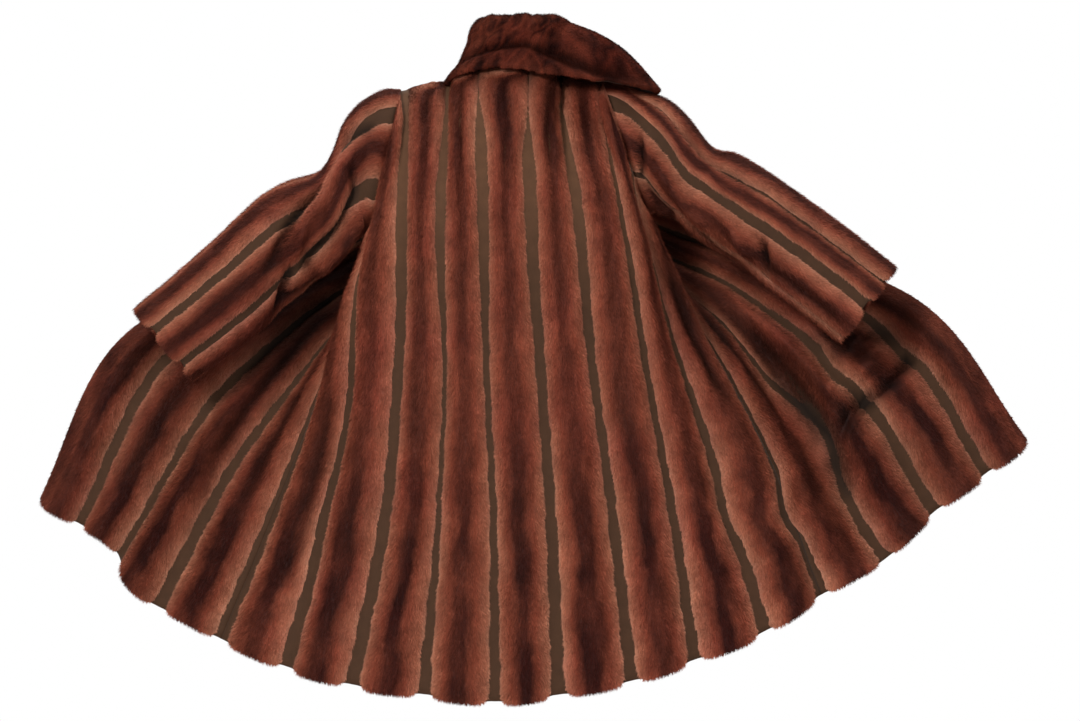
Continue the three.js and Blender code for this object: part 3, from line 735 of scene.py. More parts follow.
class Nodes:
    """Short way to build a node tree."""

    def __init__(self, tree):
        self.tree = tree
        tree.nodes.clear()

    def add(self, kind, label="", **settings):
        node = self.tree.nodes.new(kind)
        node.label = label
        for key, value in settings.items():
            setattr(node, key, value)
        return node

    def link(self, source, target):
        self.tree.links.new(source, target)

    def put(self, socket, value):
        if isinstance(value, bpy.types.NodeSocket):
            self.link(value, socket)
        else:
            socket.default_value = value

    def math(self, operation, a, b=0.0, clamp=False):
        node = self.add("ShaderNodeMath", operation=operation, use_clamp=clamp)
        self.put(node.inputs[0], a)
        self.put(node.inputs[1], b)
        return node.outputs[0]

    def vector(self, operation, a, b=(0.0, 0.0, 0.0), scale=None):
        node = self.add("ShaderNodeVectorMath", operation=operation)
        self.put(node.inputs[0], a)
        if scale is not None:
            self.put(node.inputs["Scale"], scale)
        else:
            self.put(node.inputs[1], b)
        return node.outputs[0]

    def grow(self, value, gain, start):
        """The value times a gain, from a start."""
        node = self.add("ShaderNodeMath", operation="MULTIPLY_ADD")
        self.put(node.inputs[0], value)
        node.inputs[1].default_value = gain
        node.inputs[2].default_value = start
        return node.outputs[0]

    def fit(self, value, *ends):
        """Takes the value from one range to another: low and high end of each."""
        node = self.add("ShaderNodeMapRange")
        self.put(node.inputs[0], value)
        for socket, end in zip(node.inputs[1:5], ends):
            socket.default_value = end
        return node.outputs[0]

    def blend(self, factor, a, b):
        node = self.add("ShaderNodeMix", data_type="RGBA")
        self.put(node.inputs[0], factor)
        self.put(node.inputs[6], a)
        self.put(node.inputs[7], b)
        return node.outputs[2]


def new_material(name, roughness, specular=0.3, sheen=0.0, sheen_tint=(1, 1, 1)):
    material = bpy.data.materials.new(name)
    material.use_nodes = True
    nodes = Nodes(material.node_tree)
    shader = nodes.add("ShaderNodeBsdfPrincipled")
    shader.inputs["Roughness"].default_value = roughness
    shader.inputs["Specular IOR Level"].default_value = specular
    shader.inputs["Sheen Weight"].default_value = sheen
    shader.inputs["Sheen Roughness"].default_value = 0.45
    shader.inputs["Sheen Tint"].default_value = (*sheen_tint, 1)
    output = nodes.add("ShaderNodeOutputMaterial")
    nodes.link(shader.outputs[0], output.inputs[0])
    return material, nodes, shader


def attribute(nodes, name):
    node = nodes.add("ShaderNodeAttribute", attribute_name=name)
    return node.outputs["Fac"]


def noise(nodes, scale, detail=3.0, vector=None):
    node = nodes.add("ShaderNodeTexNoise")
    node.inputs["Scale"].default_value = scale
    node.inputs["Detail"].default_value = detail
    node.inputs["Roughness"].default_value = 0.55
    if vector is None:
        vector = nodes.add("ShaderNodeTexCoord").outputs["Object"]
    nodes.link(vector, node.inputs["Vector"])
    return node.outputs[0]


# How much the pattern is drawn out along a strip, how far the stripe strays from the middle as a
# share of the strip, and the tint of the plum patches
STREAK = 0.32
WANDER = 0.25
PLUM = (0.95, 0.74, 0.85)


def fur_material(settings, name, stops, patch_size, shine=1.0):
    """Fur coloured across its strip, mottled along it, with locks that differ and lighter tips."""
    material, nodes, shader = new_material(
        name, settings.fur_roughness, 0.12 * shine, settings.fur_sheen * shine, srgb(settings.sheen_colour)
    )
    lie = nodes.add("ShaderNodeAttribute", attribute_name="lie").outputs["Vector"]
    stretched = nodes.vector("MULTIPLY", lie, (1.0, STREAK, 1.0))
    ramp = nodes.add("ShaderNodeValToRGB", "Colour across a strip")
    while len(ramp.color_ramp.elements) < len(stops):
        ramp.color_ramp.elements.new(0.5)
    for element, (place, colour) in zip(ramp.color_ramp.elements, stops):
        element.position = place
        element.color = (*srgb(colour), 1)
    across_strip = attribute(nodes, "across")
    wander = nodes.grow(noise(nodes, 30.0, 3.0, stretched), 2 * WANDER, -WANDER)
    inner = nodes.math("PINGPONG", across_strip, 0.5)
    held = nodes.math("MULTIPLY", wander, nodes.math("MULTIPLY", inner, 2.6, clamp=True))
    nodes.link(nodes.math("ADD", across_strip, held), ramp.inputs[0])
    fade = nodes.fit(noise(nodes, 17.0, 2.0, stretched), 0.42, 0.68, 0.0, 0.45)
    faded = nodes.math("MAXIMUM", fade, attribute(nodes, "pale"))
    coat = nodes.blend(faded, ramp.outputs[0], (*srgb(settings.middle_colour), 1))
    patch = nodes.fit(noise(nodes, patch_size, 5.0), 0.3, 0.7, settings.mottle_low, settings.mottle_high)
    lock = nodes.fit(attribute(nodes, "shade"), 0.0, 1.0, settings.lock_low, settings.lock_high)
    tip = nodes.grow(attribute(nodes, "tip"), settings.tip_gain, settings.root_gain)
    gain = nodes.math("MULTIPLY", nodes.math("MULTIPLY", patch, lock), tip)
    # Painted shade: the colour is darkened in creases, hollows, gathers and along the sleeves' lower sides
    painted_shade_gain = nodes.grow(attribute(nodes, "deep"), -settings.painted_shade_strength, 1.0)
    lit = nodes.vector("SCALE", coat, scale=nodes.math("MULTIPLY", gain, painted_shade_gain))
    tint = nodes.fit(noise(nodes, 7.0, 2.0), 0.45, 0.7, 0.0, 0.55)
    plum = nodes.blend(tint, lit, nodes.vector("MULTIPLY", lit, PLUM))
    nodes.link(plum, shader.inputs["Base Color"])
    return material


def leather_material(settings):
    material, nodes, shader = new_material("Leather strip", 0.8, 0.15, 0.08, (0.8, 0.7, 0.6))
    base = (*srgb(settings.leather_colour), 1)
    dark = tuple(0.6 * c for c in base[:3]) + (1,)
    spots = noise(nodes, 55.0, 5.0)
    # Painted shade: the leather is darkened in creases and hollows and along the sleeves' lower sides, and
    # lightened towards the top of the body
    painted_shade_gain = nodes.grow(attribute(nodes, "deep"), -settings.painted_shade_strength, 1.0)
    shown = nodes.vector("SCALE", nodes.blend(spots, dark, base), scale=painted_shade_gain)
    nodes.link(shown, shader.inputs["Base Color"])
    bump = nodes.add("ShaderNodeBump")
    bump.inputs["Strength"].default_value = 0.35
    bump.inputs["Distance"].default_value = 0.0008
    nodes.link(noise(nodes, 600.0, 4.0), bump.inputs["Height"])
    nodes.link(bump.outputs[0], shader.inputs["Normal"])
    return material


def lining_material(settings):
    material, nodes, shader = new_material("Inner side", 0.8, 0.1)
    base = (*srgb(settings.lining_colour), 1)
    dark = tuple(0.8 * c for c in base[:3]) + (1,)
    nodes.link(nodes.blend(noise(nodes, 30.0, 3.0), dark, base), shader.inputs["Base Color"])
    return material


def strip_width(line, v):
    """Half width of a leather strip as a share of the pitch, narrow where it starts at the neck."""
    starts, chest, waist, hem = LEATHER[line]
    width = spline((0, 0.2, 0.5, 1), (chest, chest, waist, hem), v)
    if starts > 0:
        width = width * smooth(v, starts, starts + 0.11)
    return np.maximum(width, 0.0)


def strip_edge(line, side, v):
    """Unevenness of a strip's cut edge, as a share of the pitch."""
    if line in (0, STRIPS):
        return np.zeros(np.shape(v))
    key = line * 2 + side
    wide = 0.02 * ripple(v * 14, v * 23, key + 1) * smooth(v, 0.02, 0.2)
    return wide + 0.012 * ripple(v * 55, v * 90, key + 50)


def dome(s):
    """Height of a fur strip across it, from 0 at its edges to 1 along its middle."""
    return np.clip(1 - np.abs(2 * s - 1) ** 2.6, 0, 1) ** 0.55


# Side of a triangle in a circle of radius 1
TRIANGLE_SIDE = 1.732


def lock_object():
    """One lock of fur: a narrow triangle one unit tall, with its tip marked."""
    bm = bmesh.new()
    bmesh.ops.create_circle(bm, cap_ends=True, segments=3, radius=1.0)
    tip = max(bm.verts, key=lambda vert: vert.co.y)
    layer = bm.verts.layers.float.new("tip")
    for vert in bm.verts:
        vert[layer] = 1.0 if vert is tip else 0.0
        height = (vert.co.y + 0.5) / 1.5
        vert.co = Vector((vert.co.x / TRIANGLE_SIDE if vert is not tip else 0.0, 0.0, height))
    return put_in_scene("Lock", mesh_of(bm, "Lock"))


def pile_tree(settings, lock, material, density, seed):
    """Geometry Nodes that set locks on a surface, lying along its flow."""
    tree = bpy.data.node_groups.new("Pile", "GeometryNodeTree")
    tree.interface.new_socket("Geometry", in_out="INPUT", socket_type="NodeSocketGeometry")
    tree.interface.new_socket("Geometry", in_out="OUTPUT", socket_type="NodeSocketGeometry")
    nodes = Nodes(tree)
    source = nodes.add("NodeGroupInput")
    result = nodes.add("NodeGroupOutput")

    def named(name, kind):
        node = nodes.add("GeometryNodeInputNamedAttribute", data_type=kind)
        node.inputs["Name"].default_value = name
        return node.outputs[0]

    def random(kind, low, high, key):
        node = nodes.add("FunctionNodeRandomValue", data_type=kind)
        at = 0 if kind == "FLOAT_VECTOR" else 2
        node.inputs[at].default_value = low
        node.inputs[at + 1].default_value = high
        node.inputs["Seed"].default_value = seed + key
        return node.outputs[0 if kind == "FLOAT_VECTOR" else 1]

    def any_way(key, size):
        return nodes.vector("SCALE", random("FLOAT_VECTOR", (-1,) * 3, (1,) * 3, key), scale=size)

    spread = nodes.add("GeometryNodeDistributePointsOnFaces")
    nodes.link(source.outputs[0], spread.inputs["Mesh"])
    nodes.link(nodes.math("MULTIPLY", named("pile", "FLOAT"), density), spread.inputs["Density"])
    spread.inputs["Seed"].default_value = seed
    shade = nodes.add("GeometryNodeStoreNamedAttribute", data_type="FLOAT", domain="POINT")
    shade.inputs["Name"].default_value = "shade"
    nodes.link(spread.outputs["Points"], shade.inputs["Geometry"])
    nodes.link(random("FLOAT", 0.0, 1.0, 1), shade.inputs["Value"])
    normal = spread.outputs["Normal"]
    lift = math.radians(settings.lock_lift)
    flat = nodes.vector("SCALE", named("flow", "FLOAT_VECTOR"), scale=math.cos(lift))
    raised = nodes.vector("SCALE", normal, scale=math.sin(lift))
    way = nodes.vector("ADD", nodes.vector("ADD", flat, raised), any_way(2, settings.lock_stray))
    facing = nodes.vector("ADD", normal, any_way(3, 0.55))
    turn = nodes.add("FunctionNodeAxesToRotation", primary_axis="Z", secondary_axis="Y")
    nodes.link(way, turn.inputs[0])
    nodes.link(facing, turn.inputs[1])
    size = nodes.add("ShaderNodeCombineXYZ")
    width, length = settings.lock_width, settings.lock_length
    nodes.link(random("FLOAT", 0.7 * width, 1.3 * width, 4), size.inputs[0])
    size.inputs[1].default_value = 1.0
    reach = nodes.math("MULTIPLY", random("FLOAT", 0.7 * length, 1.2 * length, 5), named("reach", "FLOAT"))
    nodes.link(reach, size.inputs[2])
    lock_node = nodes.add("GeometryNodeObjectInfo", transform_space="ORIGINAL")
    lock_node.inputs["Object"].default_value = lock
    place = nodes.add("GeometryNodeInstanceOnPoints")
    nodes.link(shade.outputs[0], place.inputs["Points"])
    nodes.link(lock_node.outputs["Geometry"], place.inputs["Instance"])
    nodes.link(turn.outputs[0], place.inputs["Rotation"])
    nodes.link(size.outputs[0], place.inputs["Scale"])
    real = nodes.add("GeometryNodeRealizeInstances")
    nodes.link(place.outputs[0], real.inputs[0])
    paint = nodes.add("GeometryNodeSetMaterial")
    nodes.link(real.outputs[0], paint.inputs["Geometry"])
    paint.inputs["Material"].default_value = material
    nodes.link(paint.outputs[0], result.inputs[0])
    return tree


def grow_pile(settings, name, carriers, material, seed):
    """Locks of fur over the carriers, as one joined mesh."""
    lock = lock_object()
    density = settings.density * 1.0
    tree = pile_tree(settings, lock, material, density, seed)
    bm = bmesh.new()
    for carrier in carriers:
        bm.from_mesh(carrier)
    ground = mesh_of(bm, name + " ground")
    maker = put_in_scene(name + " ground", ground)
    modifier = maker.modifiers.new("Pile", "NODES")
    modifier.node_group = tree
    evaluated = maker.evaluated_get(bpy.context.evaluated_depsgraph_get())
    mesh = bpy.data.meshes.new_from_object(evaluated)
    mesh.name = name
    for key in ("flow", "pile", "reach"):
        if key in mesh.attributes:
            mesh.attributes.remove(mesh.attributes[key])
    mesh.materials.clear()
    bpy.data.objects.remove(maker)
    bpy.data.meshes.remove(ground)
    bpy.data.objects.remove(lock)
    bpy.data.node_groups.remove(tree)
    return add_object(name, mesh, material)


def fur_pieces(settings, pile_name, ribs_name, carriers, fur, seed, slot="fur"):
    """The locks over some carriers, and under them the carriers as one piece."""
    pieces = [grow_pile(settings, pile_name, carriers, fur, seed), join_meshes(ribs_name, carriers, fur)]
    return pieces


def fur_share(share):
    """How much of the fur's drop the shell's edge has, by the share across its strip."""
    return np.clip((np.minimum(share, 1 - share) - NOTCH_EDGE) / NOTCH_WIDTH, NOTCH_FLOOR, 1)


def strip_columns(first, last):
    """Coordinates across some strips, close together at the leather, with the fur's share there."""
    pairs = [(strip, share) for strip in range(first, last) for share in STRIP_SHARES] + [(last, 0.0)]
    strips, shares = np.array(pairs, dtype=float).T
    return strips + shares, fur_share(shares)


def body_shell(name, first, last):
    """The leather side of a body panel, still without its wall."""
    places, furs = strip_columns(first, last)

    def points(i, v):
        k = np.rint(i * (len(places) - 1)).astype(int)
        u, fur = places[k], furs[k]
        gap = np.where(k == 0, SEAM_ROOM, 0) - np.where(k == len(places) - 1, SEAM_ROOM, 0)
        place = body_point(u, v, fur, np.full(u.shape, WALL)) + body_beside(u, v) * gap[..., None]
        # Painted shade on the leather in the creases and hollows; the leather is also lighter towards the
        # top of the body
        return place, {"deep": body_painted_shade(u, v) - TOP_LEATHER * (1 - smooth(v, 0.12, 0.4))}

    return grid_mesh(name, len(places), BODY_ROWS, points)


def rib_reach(i, turn):
    """Length of the locks across a rib, shorter at its edges and over its rounded end."""
    return mix(0.5, 1.0, smooth(np.minimum(i, 1 - i), 0, 0.15)) * mix(1.0, 0.55, turn / 1.6)


def rib_rows(t):
    """Share down the strip, and the angle of its rounded lower end, by the row."""
    v = np.clip(t / (1 - END_ROWS), 0, 1)
    turn = np.clip((t - 1 + END_ROWS) / END_ROWS, 0, 1) * math.pi / 2
    return v, turn


def neck_groove(strip, i, v):
    """The fold along a strip's middle where it is gathered under the collar, from 0 to 1."""
    sway = 0.5 + 0.07 * ripple(v * 9, v * 3, strip + 21)
    groove = np.exp(-(((i - sway) / 0.11) ** 2)) * (1 - smooth(v, 0.1, 0.75)) * GATHERS[strip]
    return groove * smooth(v, 0.0, 0.045)


def rib_mark(strip, i, v, neck):
    """Colour's place across a strip: light where it comes out of the collar, dark to a free edge."""
    rim = neck * (1 - smooth(v, 0.012, 0.03)) * (1 - np.abs(2 * i - 1) ** 3)
    low = FREE_EDGE if strip == 0 else 0
    high = 1 - FREE_EDGE if strip == STRIPS - 1 else 1
    return mix(np.clip(i, low, high), 0.03, rim)


def body_rib(settings, strip):
    """One let-out fur strip of the body, as a rounded rib with what its locks need."""
    neck = 1.0 if 5 < strip < 12 else 0.0

    def points(i, t):
        v, turn = rib_rows(t)
        low = line_place(strip, v) + (strip_width(strip, v) + strip_edge(strip, 1, v))
        high = line_place(strip + 1, v) - (strip_width(strip + 1, v) - strip_edge(strip + 1, 0, v))
        u = low + i * (high - low)
        crown = dome(i)
        if 8 < strip < 11:
            crown = np.maximum(crown, 0.9 * (1 - smooth(v, 0.01, 0.04)))
        groove = neck_groove(strip, i, v)
        puff = mix(0.45, 1.5, smooth(u, 9.0, 9.6) * (1 - smooth(u, 10.8, 11.5)))
        gather = mix(0.6, 1.0, smooth(v, 0, 0.02)) + puff * np.exp(-(((v - 0.035) / 0.025) ** 2))
        uneven = ripple(u * 5, v * 20, strip + 40) + 0.5 * ripple(u * 15, v * 55, strip + 60)
        height = settings.rib_height / MM * crown * gather - GATHER_DEPTH * groove + 2.0 * uneven * crown
        height = WALL - RIB_SUNK + (height + RIB_SUNK) * np.cos(turn)
        place = body_point(u, v, np.maximum(crown, 0.02), height)
        down = body_down(u, v)
        place = place + down * (END_ROLL * np.sin(turn) * crown)[..., None]
        splay = 0.35 * (2 * i - 1) ** 3 + 0.12 * ripple(u * 3, v * 17, strip + 80)
        inwards = body_normal(u, v) * (1.2 * np.sin(turn))[..., None]
        # Painted shade at the strip's upper corners, where it goes under the collar
        corner_shade = neck * (1 - smooth(v, 0.01, 0.06)) * np.abs(2 * i - 1) ** 2.4
        outer = OUTER_SHADE * smooth(np.abs(u - STRIPS / 2), 3.5, 6.5) * smooth(v, 0.3, 0.6)
        return place, {
            "across": rib_mark(strip, i, v, neck),
            "lie": np.stack([0.08 * i + 0.31 * strip, 1.1 * v, np.zeros(i.shape)], -1),
            "flow": unit(down + body_beside(u, v) * splay[..., None] - inwards),
            "pile": np.ones(i.shape),
            "reach": rib_reach(i, turn),
            # Painted shade in the gathered fold, in the creases and hollows and at the corners under the
            # collar; darker still on the held-out fronts below the waist
            "deep": np.clip(0.2 * groove + body_painted_shade(u, v) + corner_shade + outer, 0, 1),
            "pale": TOP_FADE * smooth(v, 0.06, 0.2) * (1 - smooth(v, 0.5, 0.85)),
        }

    return grid_mesh(f"Strip {strip}", RIB_COLUMNS, BODY_ROWS, points)


def sleeve_share(side, turn):
    """Where a turn of a sleeve lies between the leather lines beside it, from 0 to 1."""
    lines = np.array([*side["lines"], side["lines"][0] + 1])
    past = np.mod(turn - lines[0], 1) + lines[0]
    return np.mod(np.interp(past, lines, np.arange(len(lines))), 1)


def sleeve_point(side, turn, v):
    """Surface with its creases, way to the cuff, way out, and darkness from 0 to 1: painted shade in the
    creases and along the lower side, over a darkening of the whole sleeve.
    """
    surface, along, normal = sleeve_frame(side, turn, v)
    laid = crease_height(side["creases"], v, turn, SLEEVE_SPAN, True) * smooth(v, 0, 0.06)
    under = 1 - smooth(np.abs(turn - 0.5), 0.04, 0.2)
    # Painted shade in the creases and along the sleeve's lower side, over the sleeve's own darkening
    deep = np.clip(SLEEVE_SHADE + UNDER_SHADE * under - laid / DARK_DEPTH, 0, 1)
    return surface + normal * laid[..., None], along, normal, deep


def cuff_drop(fur, v):
    return 0.6 * HEM_DROP * np.sqrt(fur) * smooth(v, 0.88, 1)


def sleeve_shell(side, name):
    """The leather side of a sleeve, still without its wall."""

    def points(i, v):
        turn = side["lines"][0] + (1 - i if side["mirror"] else i)
        surface, along, normal, deep = sleeve_point(side, turn, v)
        drop = cuff_drop(fur_share(sleeve_share(side, turn)), v)
        return surface + normal * WALL + along * drop[..., None], {"deep": deep}

    return grid_mesh(name, SLEEVE_STRIPS * 12 + 1, SLEEVE_ROWS, points, weld=True)


def sleeve_rib(settings, side, strip):
    """One fur strip of a sleeve, as a rounded rib with what its locks need."""
    mirror = side["mirror"]
    lines = (*side["lines"], side["lines"][0] + 1)
    widths = (*side["leather"], side["leather"][0])

    def points(i, t):
        v, end = rib_rows(t)
        uneven = 0.016 * ripple(v * 17, v * 5, strip + 3) + 0.01 * ripple(v * 60, v, strip + 9)
        wide = 1 + 0.35 * (1 - smooth(v, 0.05, 0.3))
        low = lines[strip] + (widths[strip] * wide + uneven) / SLEEVE_STRIPS
        high = lines[strip + 1] - (widths[strip + 1] * wide - uneven) / SLEEVE_STRIPS
        where = 1 - i if mirror else i
        turn = low + where * (high - low)
        turn = turn + side["twist"] * (1 - smooth(v, side["twist_from"], side["twist_to"]))
        surface, along, normal, deep = sleeve_point(side, turn, v)
        fur = np.maximum(dome(i), 0.02)
        height = settings.rib_height / MM * dome(i) * mix(0.4, 1.0, smooth(v, 0, 0.05))
        height = height + 0.9 * ripple(turn * 40, v * 30, 7) * dome(i)
        place = surface + normal * (WALL - RIB_SUNK + (height + RIB_SUNK) * np.cos(end))[..., None]
        place = place + along * (cuff_drop(fur, v) + END_ROLL * np.sin(end) * fur)[..., None]
        beside = unit(np.cross(normal, along)) * (-1.0 if mirror else 1.0)
        splay = 0.4 * (2 * where - 1) ** 3
        return place, {
            "across": i,
            "lie": np.stack([0.08 * i + 0.31 * strip + 7, 0.62 * v, np.zeros(i.shape)], -1),
            "flow": unit(along + beside * splay[..., None] - normal * np.sin(end)[..., None]),
            "pile": np.ones(i.shape),
            "reach": rib_reach(i, end) * mix(0.5, 1.0, smooth(v, 0, 0.05)),
            "deep": deep,
            "pale": np.full(i.shape, 0.3 * TOP_FADE),
        }

    return grid_mesh(f"Strip {strip}", RIB_COLUMNS, SLEEVE_ROWS, points)


def finish_shell(node, mesh, colours):
    """Gives a shell its wall, its material on both sides and its place in the part."""
    made = add_object(node + "_shell", mesh, *shared_materials(colours)[2:])
    wall = made.modifiers.new("Wall", "SOLIDIFY")
    wall.thickness = (WALL - 0.3) * MM
    wall.offset = -1.0
    wall.material_offset = 1
    wall.material_offset_rim = 0
    wall.use_even_offset = False
    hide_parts(node)


def number(name, description, default, **more):
    return bpy.props.FloatProperty(name=name, description=description, default=default, **more)


def colour(name, description, default):
    return bpy.props.FloatVectorProperty(
        name=name, description=description, default=default, subtype="COLOR_GAMMA", min=0.0, max=1.0
    )


class CoatSizes(bpy.types.PropertyGroup):
    """Sizes of the fur that a user may change."""

    rib_height: number("Strip height", "Height of a fur strip over the leather", 0.0075, unit="LENGTH")
    lock_length: number("Lock length", "Middle length of the locks of fur", 0.009, unit="LENGTH")
    lock_width: number("Lock width", "Half width of a lock at its root", 0.0011, unit="LENGTH")
    lock_lift: number("Lock lift", "Angle of the locks to the skin, in degrees", 24.0)
    lock_stray: number("Stray", "How unevenly the locks lie", 0.22, subtype="FACTOR")
    density: number("Density", "Locks on one square metre", 340000.0)


class CoatColours(bpy.types.PropertyGroup):
    """Colours and gloss of the fur, the leather and the inner side."""

    stripe_colour: colour("Stripe", "Dark line down the middle of a strip", (0.24, 0.076, 0.046))
    middle_colour: colour("Middle", "Fur between the stripe and the edge", (0.6, 0.3, 0.215))
    warm_colour: colour("Warm", "Fur just inside a strip's edge", (0.77, 0.48, 0.365))
    edge_colour: colour("Edge", "Light fur at a strip's edges", (0.84, 0.58, 0.46))
    collar_dark: colour("Collar, dark", "Dark fur of the collar", (0.178, 0.058, 0.037))
    collar_light: colour("Collar, light", "Light fur of the collar", (0.4, 0.17, 0.113))
    leather_colour: colour("Leather", "Narrow strips between the fur", (0.288, 0.192, 0.128))
    lining_colour: colour("Inner side", "Plain inner side", (0.2, 0.13, 0.1))
    sheen_colour: colour("Sheen", "Soft shine of the fur", (0.95, 0.58, 0.46))
    fur_roughness: number("Fur roughness", "How dull the fur is", 0.62, subtype="FACTOR")
    fur_sheen: number("Fur sheen", "Strength of the soft shine", 0.12, subtype="FACTOR")
    mottle_low: number("Dark mottling", "Gain of the darkest patches", 0.78)
    mottle_high: number("Light mottling", "Gain of the lightest patches", 1.22)
    lock_low: number("Darkest lock", "Gain of the darkest locks", 0.78)
    lock_high: number("Lightest lock", "Gain of the lightest locks", 1.25)
    # Strength of the painted shade in creases and hollows
    painted_shade_strength: number("Hollows", "How much darker a crease is", 0.8, subtype="FACTOR")
    root_gain: number("Root", "Gain of a lock at its root", 0.75)
    tip_gain: number("Tip", "What a lock gains from root to tip", 0.6)


MADE = {}


def shared_materials(colours):
    """The four finishes, made once: strip fur, collar fur, leather and inner side."""
    if "fur" not in MADE:
        stripe, middle, edge = colours.stripe_colour, colours.middle_colour, colours.edge_colour
        warm = colours.warm_colour
        stops = (
            (0.012, edge), (0.07, warm), (0.22, middle), (0.4, stripe),
            (0.6, stripe), (0.76, middle), (0.93, warm), (0.988, edge),
        )
        MADE["fur"] = fur_material(colours, "Strip fur", stops, 26.0)
        dark, light = colours.collar_dark, colours.collar_light
        stops = ((0.0, dark), (0.25, dark), (0.5, light), (0.68, dark), (0.85, light), (1.0, light))
        MADE["collar"] = fur_material(colours, "Collar fur", stops, 34.0, 0.35)
        MADE["leather"] = leather_material(colours)
        MADE["lining"] = lining_material(colours)
    return MADE["fur"], MADE["collar"], MADE["leather"], MADE["lining"]


# Flat size and area of each cut, in metres
FRONT_CUT = ((0.62, 1.08), 0.38)
BACK_CUT = ((1.15, 1.08), 0.92)
# Each panel's strips, from one to before another, by the pieces of its fur
PANELS = {
    "front_left": (((0, 4),), FRONT_CUT),
    "back": (((4, 7), (7, 10), (10, 13)), BACK_CUT),
    "front_right": (((13, 17),), FRONT_CUT),
}


class COAT_OT_body(bpy.types.Operator):
    """Makes the back and the two fronts, with their fur strips"""

    bl_idname = "coat.make_body"
    bl_label = "Make body"

    def execute(self, context):
        sizes, colours = context.scene.coat_sizes, context.scene.coat_colours
        fur = shared_materials(colours)[0]
        for node, (piles, cut) in PANELS.items():
            pieces = []
            for count, (first, last) in enumerate(piles, 1):
                strips = [body_rib(sizes, strip) for strip in range(first, last)]
                mark = f"_{count}" if len(piles) > 1 else ""
                names = f"{node}_fur{mark}", f"{node}_strips{mark}"
                pieces += fur_pieces(sizes, *names, strips, fur, 100 + first)
            shell = body_shell(node + "_shell", piles[0][0], piles[-1][1])
            finish_shell(node, shell, colours)
        return {"FINISHED"}


class COAT_OT_sleeves(bpy.types.Operator):
    """Makes the two sleeves, with their fur strips"""

    bl_idname = "coat.make_sleeves"
    bl_label = "Make sleeves"

    def execute(self, context):
        sizes, colours = context.scene.coat_sizes, context.scene.coat_colours
        fur = shared_materials(colours)[0]
        for node, side, seed in (("sleeve_left", LEFT, 211), ("sleeve_right", RIGHT, 212)):
            strips = [sleeve_rib(sizes, side, strip) for strip in range(SLEEVE_STRIPS)]
            pieces = fur_pieces(sizes, node + "_fur", node + "_strips", strips, fur, seed)
            shell = sleeve_shell(side, node + "_shell")
            finish_shell(node, shell, colours)
        return {"FINISHED"}


def settled(surface, along, angle, v):
    """The collar's fall sunk onto the shoulders and towards the neck, with a wavy edge."""
    low = smooth(v, 0.55, 1)
    down, inward = (way * low for way in read_table(COLLAR_SETTLE, np.degrees(angle)))
    surface = surface - np.array([0, 0, 1]) * down[..., None]
    wave = 2.2 * (ripple(angle * 7, 0 * v, 8) + ripple(angle * 19, 0 * v, 9)) * smooth(v, 0.85, 1)
    surface = surface + along * wave[..., None]
    return surface + unit(surface * np.array([-1, -1, 0])) * inward[..., None]


def blotches(a, b, seed, other):
    return ripple(a, b, seed) + ripple(a, -b, other)


def collar_grid(name, rows, rise):
    """The collar's fur, rise millimetres high and rolled over at its edge, or its leather side at 0."""
    start, end = math.radians(-45 - COLLAR_END), math.radians(225 + COLLAR_END)

    def points(i, t):
        angle = start + i * (end - start)
        v = np.clip(t / COLLAR_FLAT, 0, 1) if rise else t
        rolled = np.clip((t - COLLAR_FLAT) / (1 - COLLAR_FLAT), 0, 1) * math.pi if rise else 0.0 * t
        surface, along, normal = collar_frame(angle, v)
        surface = settled(surface, along, angle, v)
        edge = smooth(np.minimum(i, 1 - i), 0, 0.02)
        crease_at, crease_depth = read_table(COLLAR_CREASE, np.degrees(angle))
        crease = np.maximum(crease_depth, 0) * np.exp(-(((v - crease_at) / CREASE_HALF) ** 2))
        uneven = 1.7 * blotches(angle * 4, v * 6, 3, 5) + 0.6 * blotches(angle * 13, v * 15, 4, 6)
        full = rise * mix(0.5, 1, smooth(v, 0, 0.08)) * mix(1, 0.85, smooth(v, 0.9, 1)) * edge
        height = WALL + full + (uneven * edge if rise else -1.0) - crease
        place = surface + normal * height[..., None]
        if rise:
            radius = height / 2
            over = normal * (radius * (np.cos(rolled) - 1))[..., None]
            place = place + over + along * (radius * np.sin(rolled))[..., None]
        swirl = 0.35 * ripple(angle * 6, v * 5, 17)
        combed = along * np.cos(rolled)[..., None] - normal * np.sin(rolled)[..., None]
        return place, {
            "across": np.clip(0.5 + 0.3 * blotches(angle * 4.1, v * 5, 11, 12), 0, 1),
            "lie": np.stack([0.11 * angle, 0.75 * v, np.zeros(v.shape)], -1),
            "flow": unit(combed + unit(np.cross(normal, along)) * swirl[..., None]),
            "pile": smooth(v, 0.0, 0.05),
            "reach": 0.6 * mix(0.7, 1.0, edge) * mix(1.0, 0.5, rolled / math.pi),
            # Painted shade in the collar's crease and where its lumps sink
            "deep": np.clip(0.13 * crease - 0.1 * uneven, 0, 1),
            "pale": np.zeros(v.shape),
        }

    return grid_mesh(name, COLLAR_COLS, rows, points)


class COAT_OT_collar(bpy.types.Operator):
    """Makes the turned-down collar"""

    bl_idname = "coat.make_collar"
    bl_label = "Make collar"

    def execute(self, context):
        sizes, colours = context.scene.coat_sizes, context.scene.coat_colours
        fur = shared_materials(colours)[1]
        base = collar_grid("Collar ground", COLLAR_ROWS * 2, sizes.rib_height / MM)
        pieces = fur_pieces(sizes, "collar_fur", "collar_body", [base], fur, 300, "collar_fur")
        shell = collar_grid("collar_shell", COLLAR_ROWS, 0.0)
        finish_shell("collar", shell, colours)
        return {"FINISHED"}


VIEW = {"x": 0.0666, "z": -0.514, "depth": -0.12, "distance": 10.8, "lens": 200.0}
FLOOR_Z = -1.6
ROOM_LIGHT = 0.36
# Name, place, width and power of each lamp
LIGHTS = (
    ("Key light", (-2.3, -4.8, 1.9), 1.2, 240.0),
    ("Fill light", (2.6, -4.8, 0.6), 2.6, 55.0),
    ("Top light", (0.2, 0.4, 3.2), 2.2, 70.0),
)


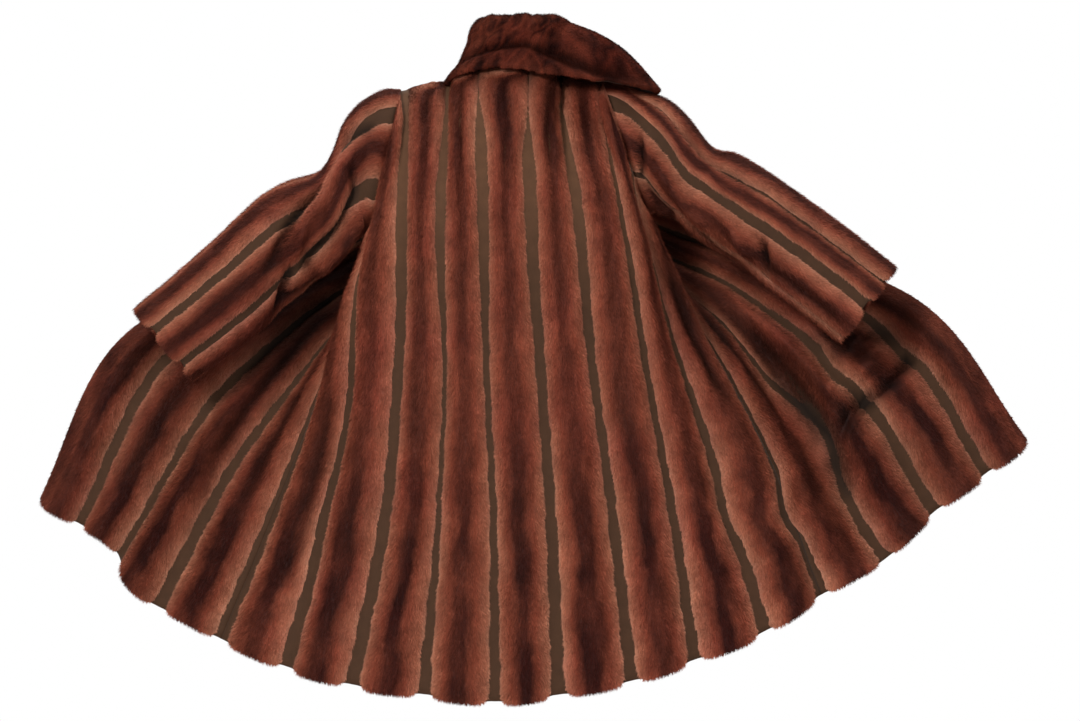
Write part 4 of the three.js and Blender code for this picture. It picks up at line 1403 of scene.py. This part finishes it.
def room():
    """Soft white room light, with a plain white backdrop for the camera."""
    world = bpy.data.worlds.new("Soft room")
    world.use_nodes = True
    nodes = Nodes(world.node_tree)
    both = nodes.add("ShaderNodeMixShader")
    nodes.link(nodes.add("ShaderNodeLightPath").outputs["Is Camera Ray"], both.inputs[0])
    for socket, power in zip(both.inputs[1:], (ROOM_LIGHT, 1.0)):
        light = nodes.add("ShaderNodeBackground")
        light.inputs[0].default_value = (1.0, 1.0, 1.0, 1)
        light.inputs[1].default_value = power
        nodes.link(light.outputs[0], socket)
    nodes.link(both.outputs[0], nodes.add("ShaderNodeOutputWorld").inputs[0])
    return world


class COAT_OT_stage(bpy.types.Operator):
    """Makes the floor, the lights and the camera"""

    bl_idname = "coat.make_stage"
    bl_label = "Make stage"

    def execute(self, context):
        bm = bmesh.new()
        bmesh.ops.create_grid(bm, x_segments=1, y_segments=1, size=2.6)
        bmesh.ops.translate(bm, verts=bm.verts, vec=(0, 0, FLOOR_Z))
        floor = put_in_scene("Floor", mesh_of(bm, "Floor"))
        material, _, shader = new_material("Floor", 0.9)
        shader.inputs["Base Color"].default_value = (0.93, 0.93, 0.93, 1)
        floor.data.materials.append(material)
        context.scene.world = room()
        target = Vector((VIEW["x"], VIEW["depth"], VIEW["z"]))
        for name, place, size, power in LIGHTS:
            light = bpy.data.lights.new(name, "AREA")
            light.size = size
            light.energy = power
            lamp = put_in_scene(name, light)
            lamp.location = place
            lamp.rotation_euler = (target - Vector(place)).to_track_quat("-Z", "Y").to_euler()
        camera = bpy.data.cameras.new("Camera")
        camera.lens = VIEW["lens"]
        camera.sensor_width = 36.0
        viewer = put_in_scene("Camera", camera)
        viewer.location = target - Vector((0, VIEW["distance"], 0))
        viewer.rotation_euler = (math.pi / 2, 0, 0)
        context.scene.camera = viewer
        context.scene.view_settings.view_transform = "Standard"
        return {"FINISHED"}


class COAT_PT_panel(bpy.types.Panel):
    """Buttons for each group of pieces"""

    bl_idname = "COAT_PT_panel"
    bl_label = "Fur coat"
    bl_space_type = "VIEW_3D"
    bl_region_type = "UI"
    bl_category = "Coat"

    def draw(self, context):
        layout = self.layout
        for group in (context.scene.coat_sizes, context.scene.coat_colours):
            for key in group.__annotations__:
                layout.prop(group, key)
        for step in STEPS:
            layout.operator(step)


CLASSES = (
    CoatSizes, CoatColours, COAT_OT_body, COAT_OT_sleeves, COAT_OT_collar, COAT_OT_stage, COAT_PT_panel,
)
STEPS = tuple(c.bl_idname for c in CLASSES if issubclass(c, bpy.types.Operator))


def register():
    for made in CLASSES:
        bpy.utils.register_class(made)
    bpy.types.Scene.coat_sizes = bpy.props.PointerProperty(type=CoatSizes)
    bpy.types.Scene.coat_colours = bpy.props.PointerProperty(type=CoatColours)


def unregister():
    del bpy.types.Scene.coat_colours
    del bpy.types.Scene.coat_sizes
    for made in reversed(CLASSES):
        bpy.utils.unregister_class(made)


def main():
    register()
    bpy.ops.coat.make_body()
    bpy.ops.coat.make_sleeves()
    bpy.ops.coat.make_collar()
    bpy.ops.coat.make_stage()


if __name__ == "__main__":
    main()
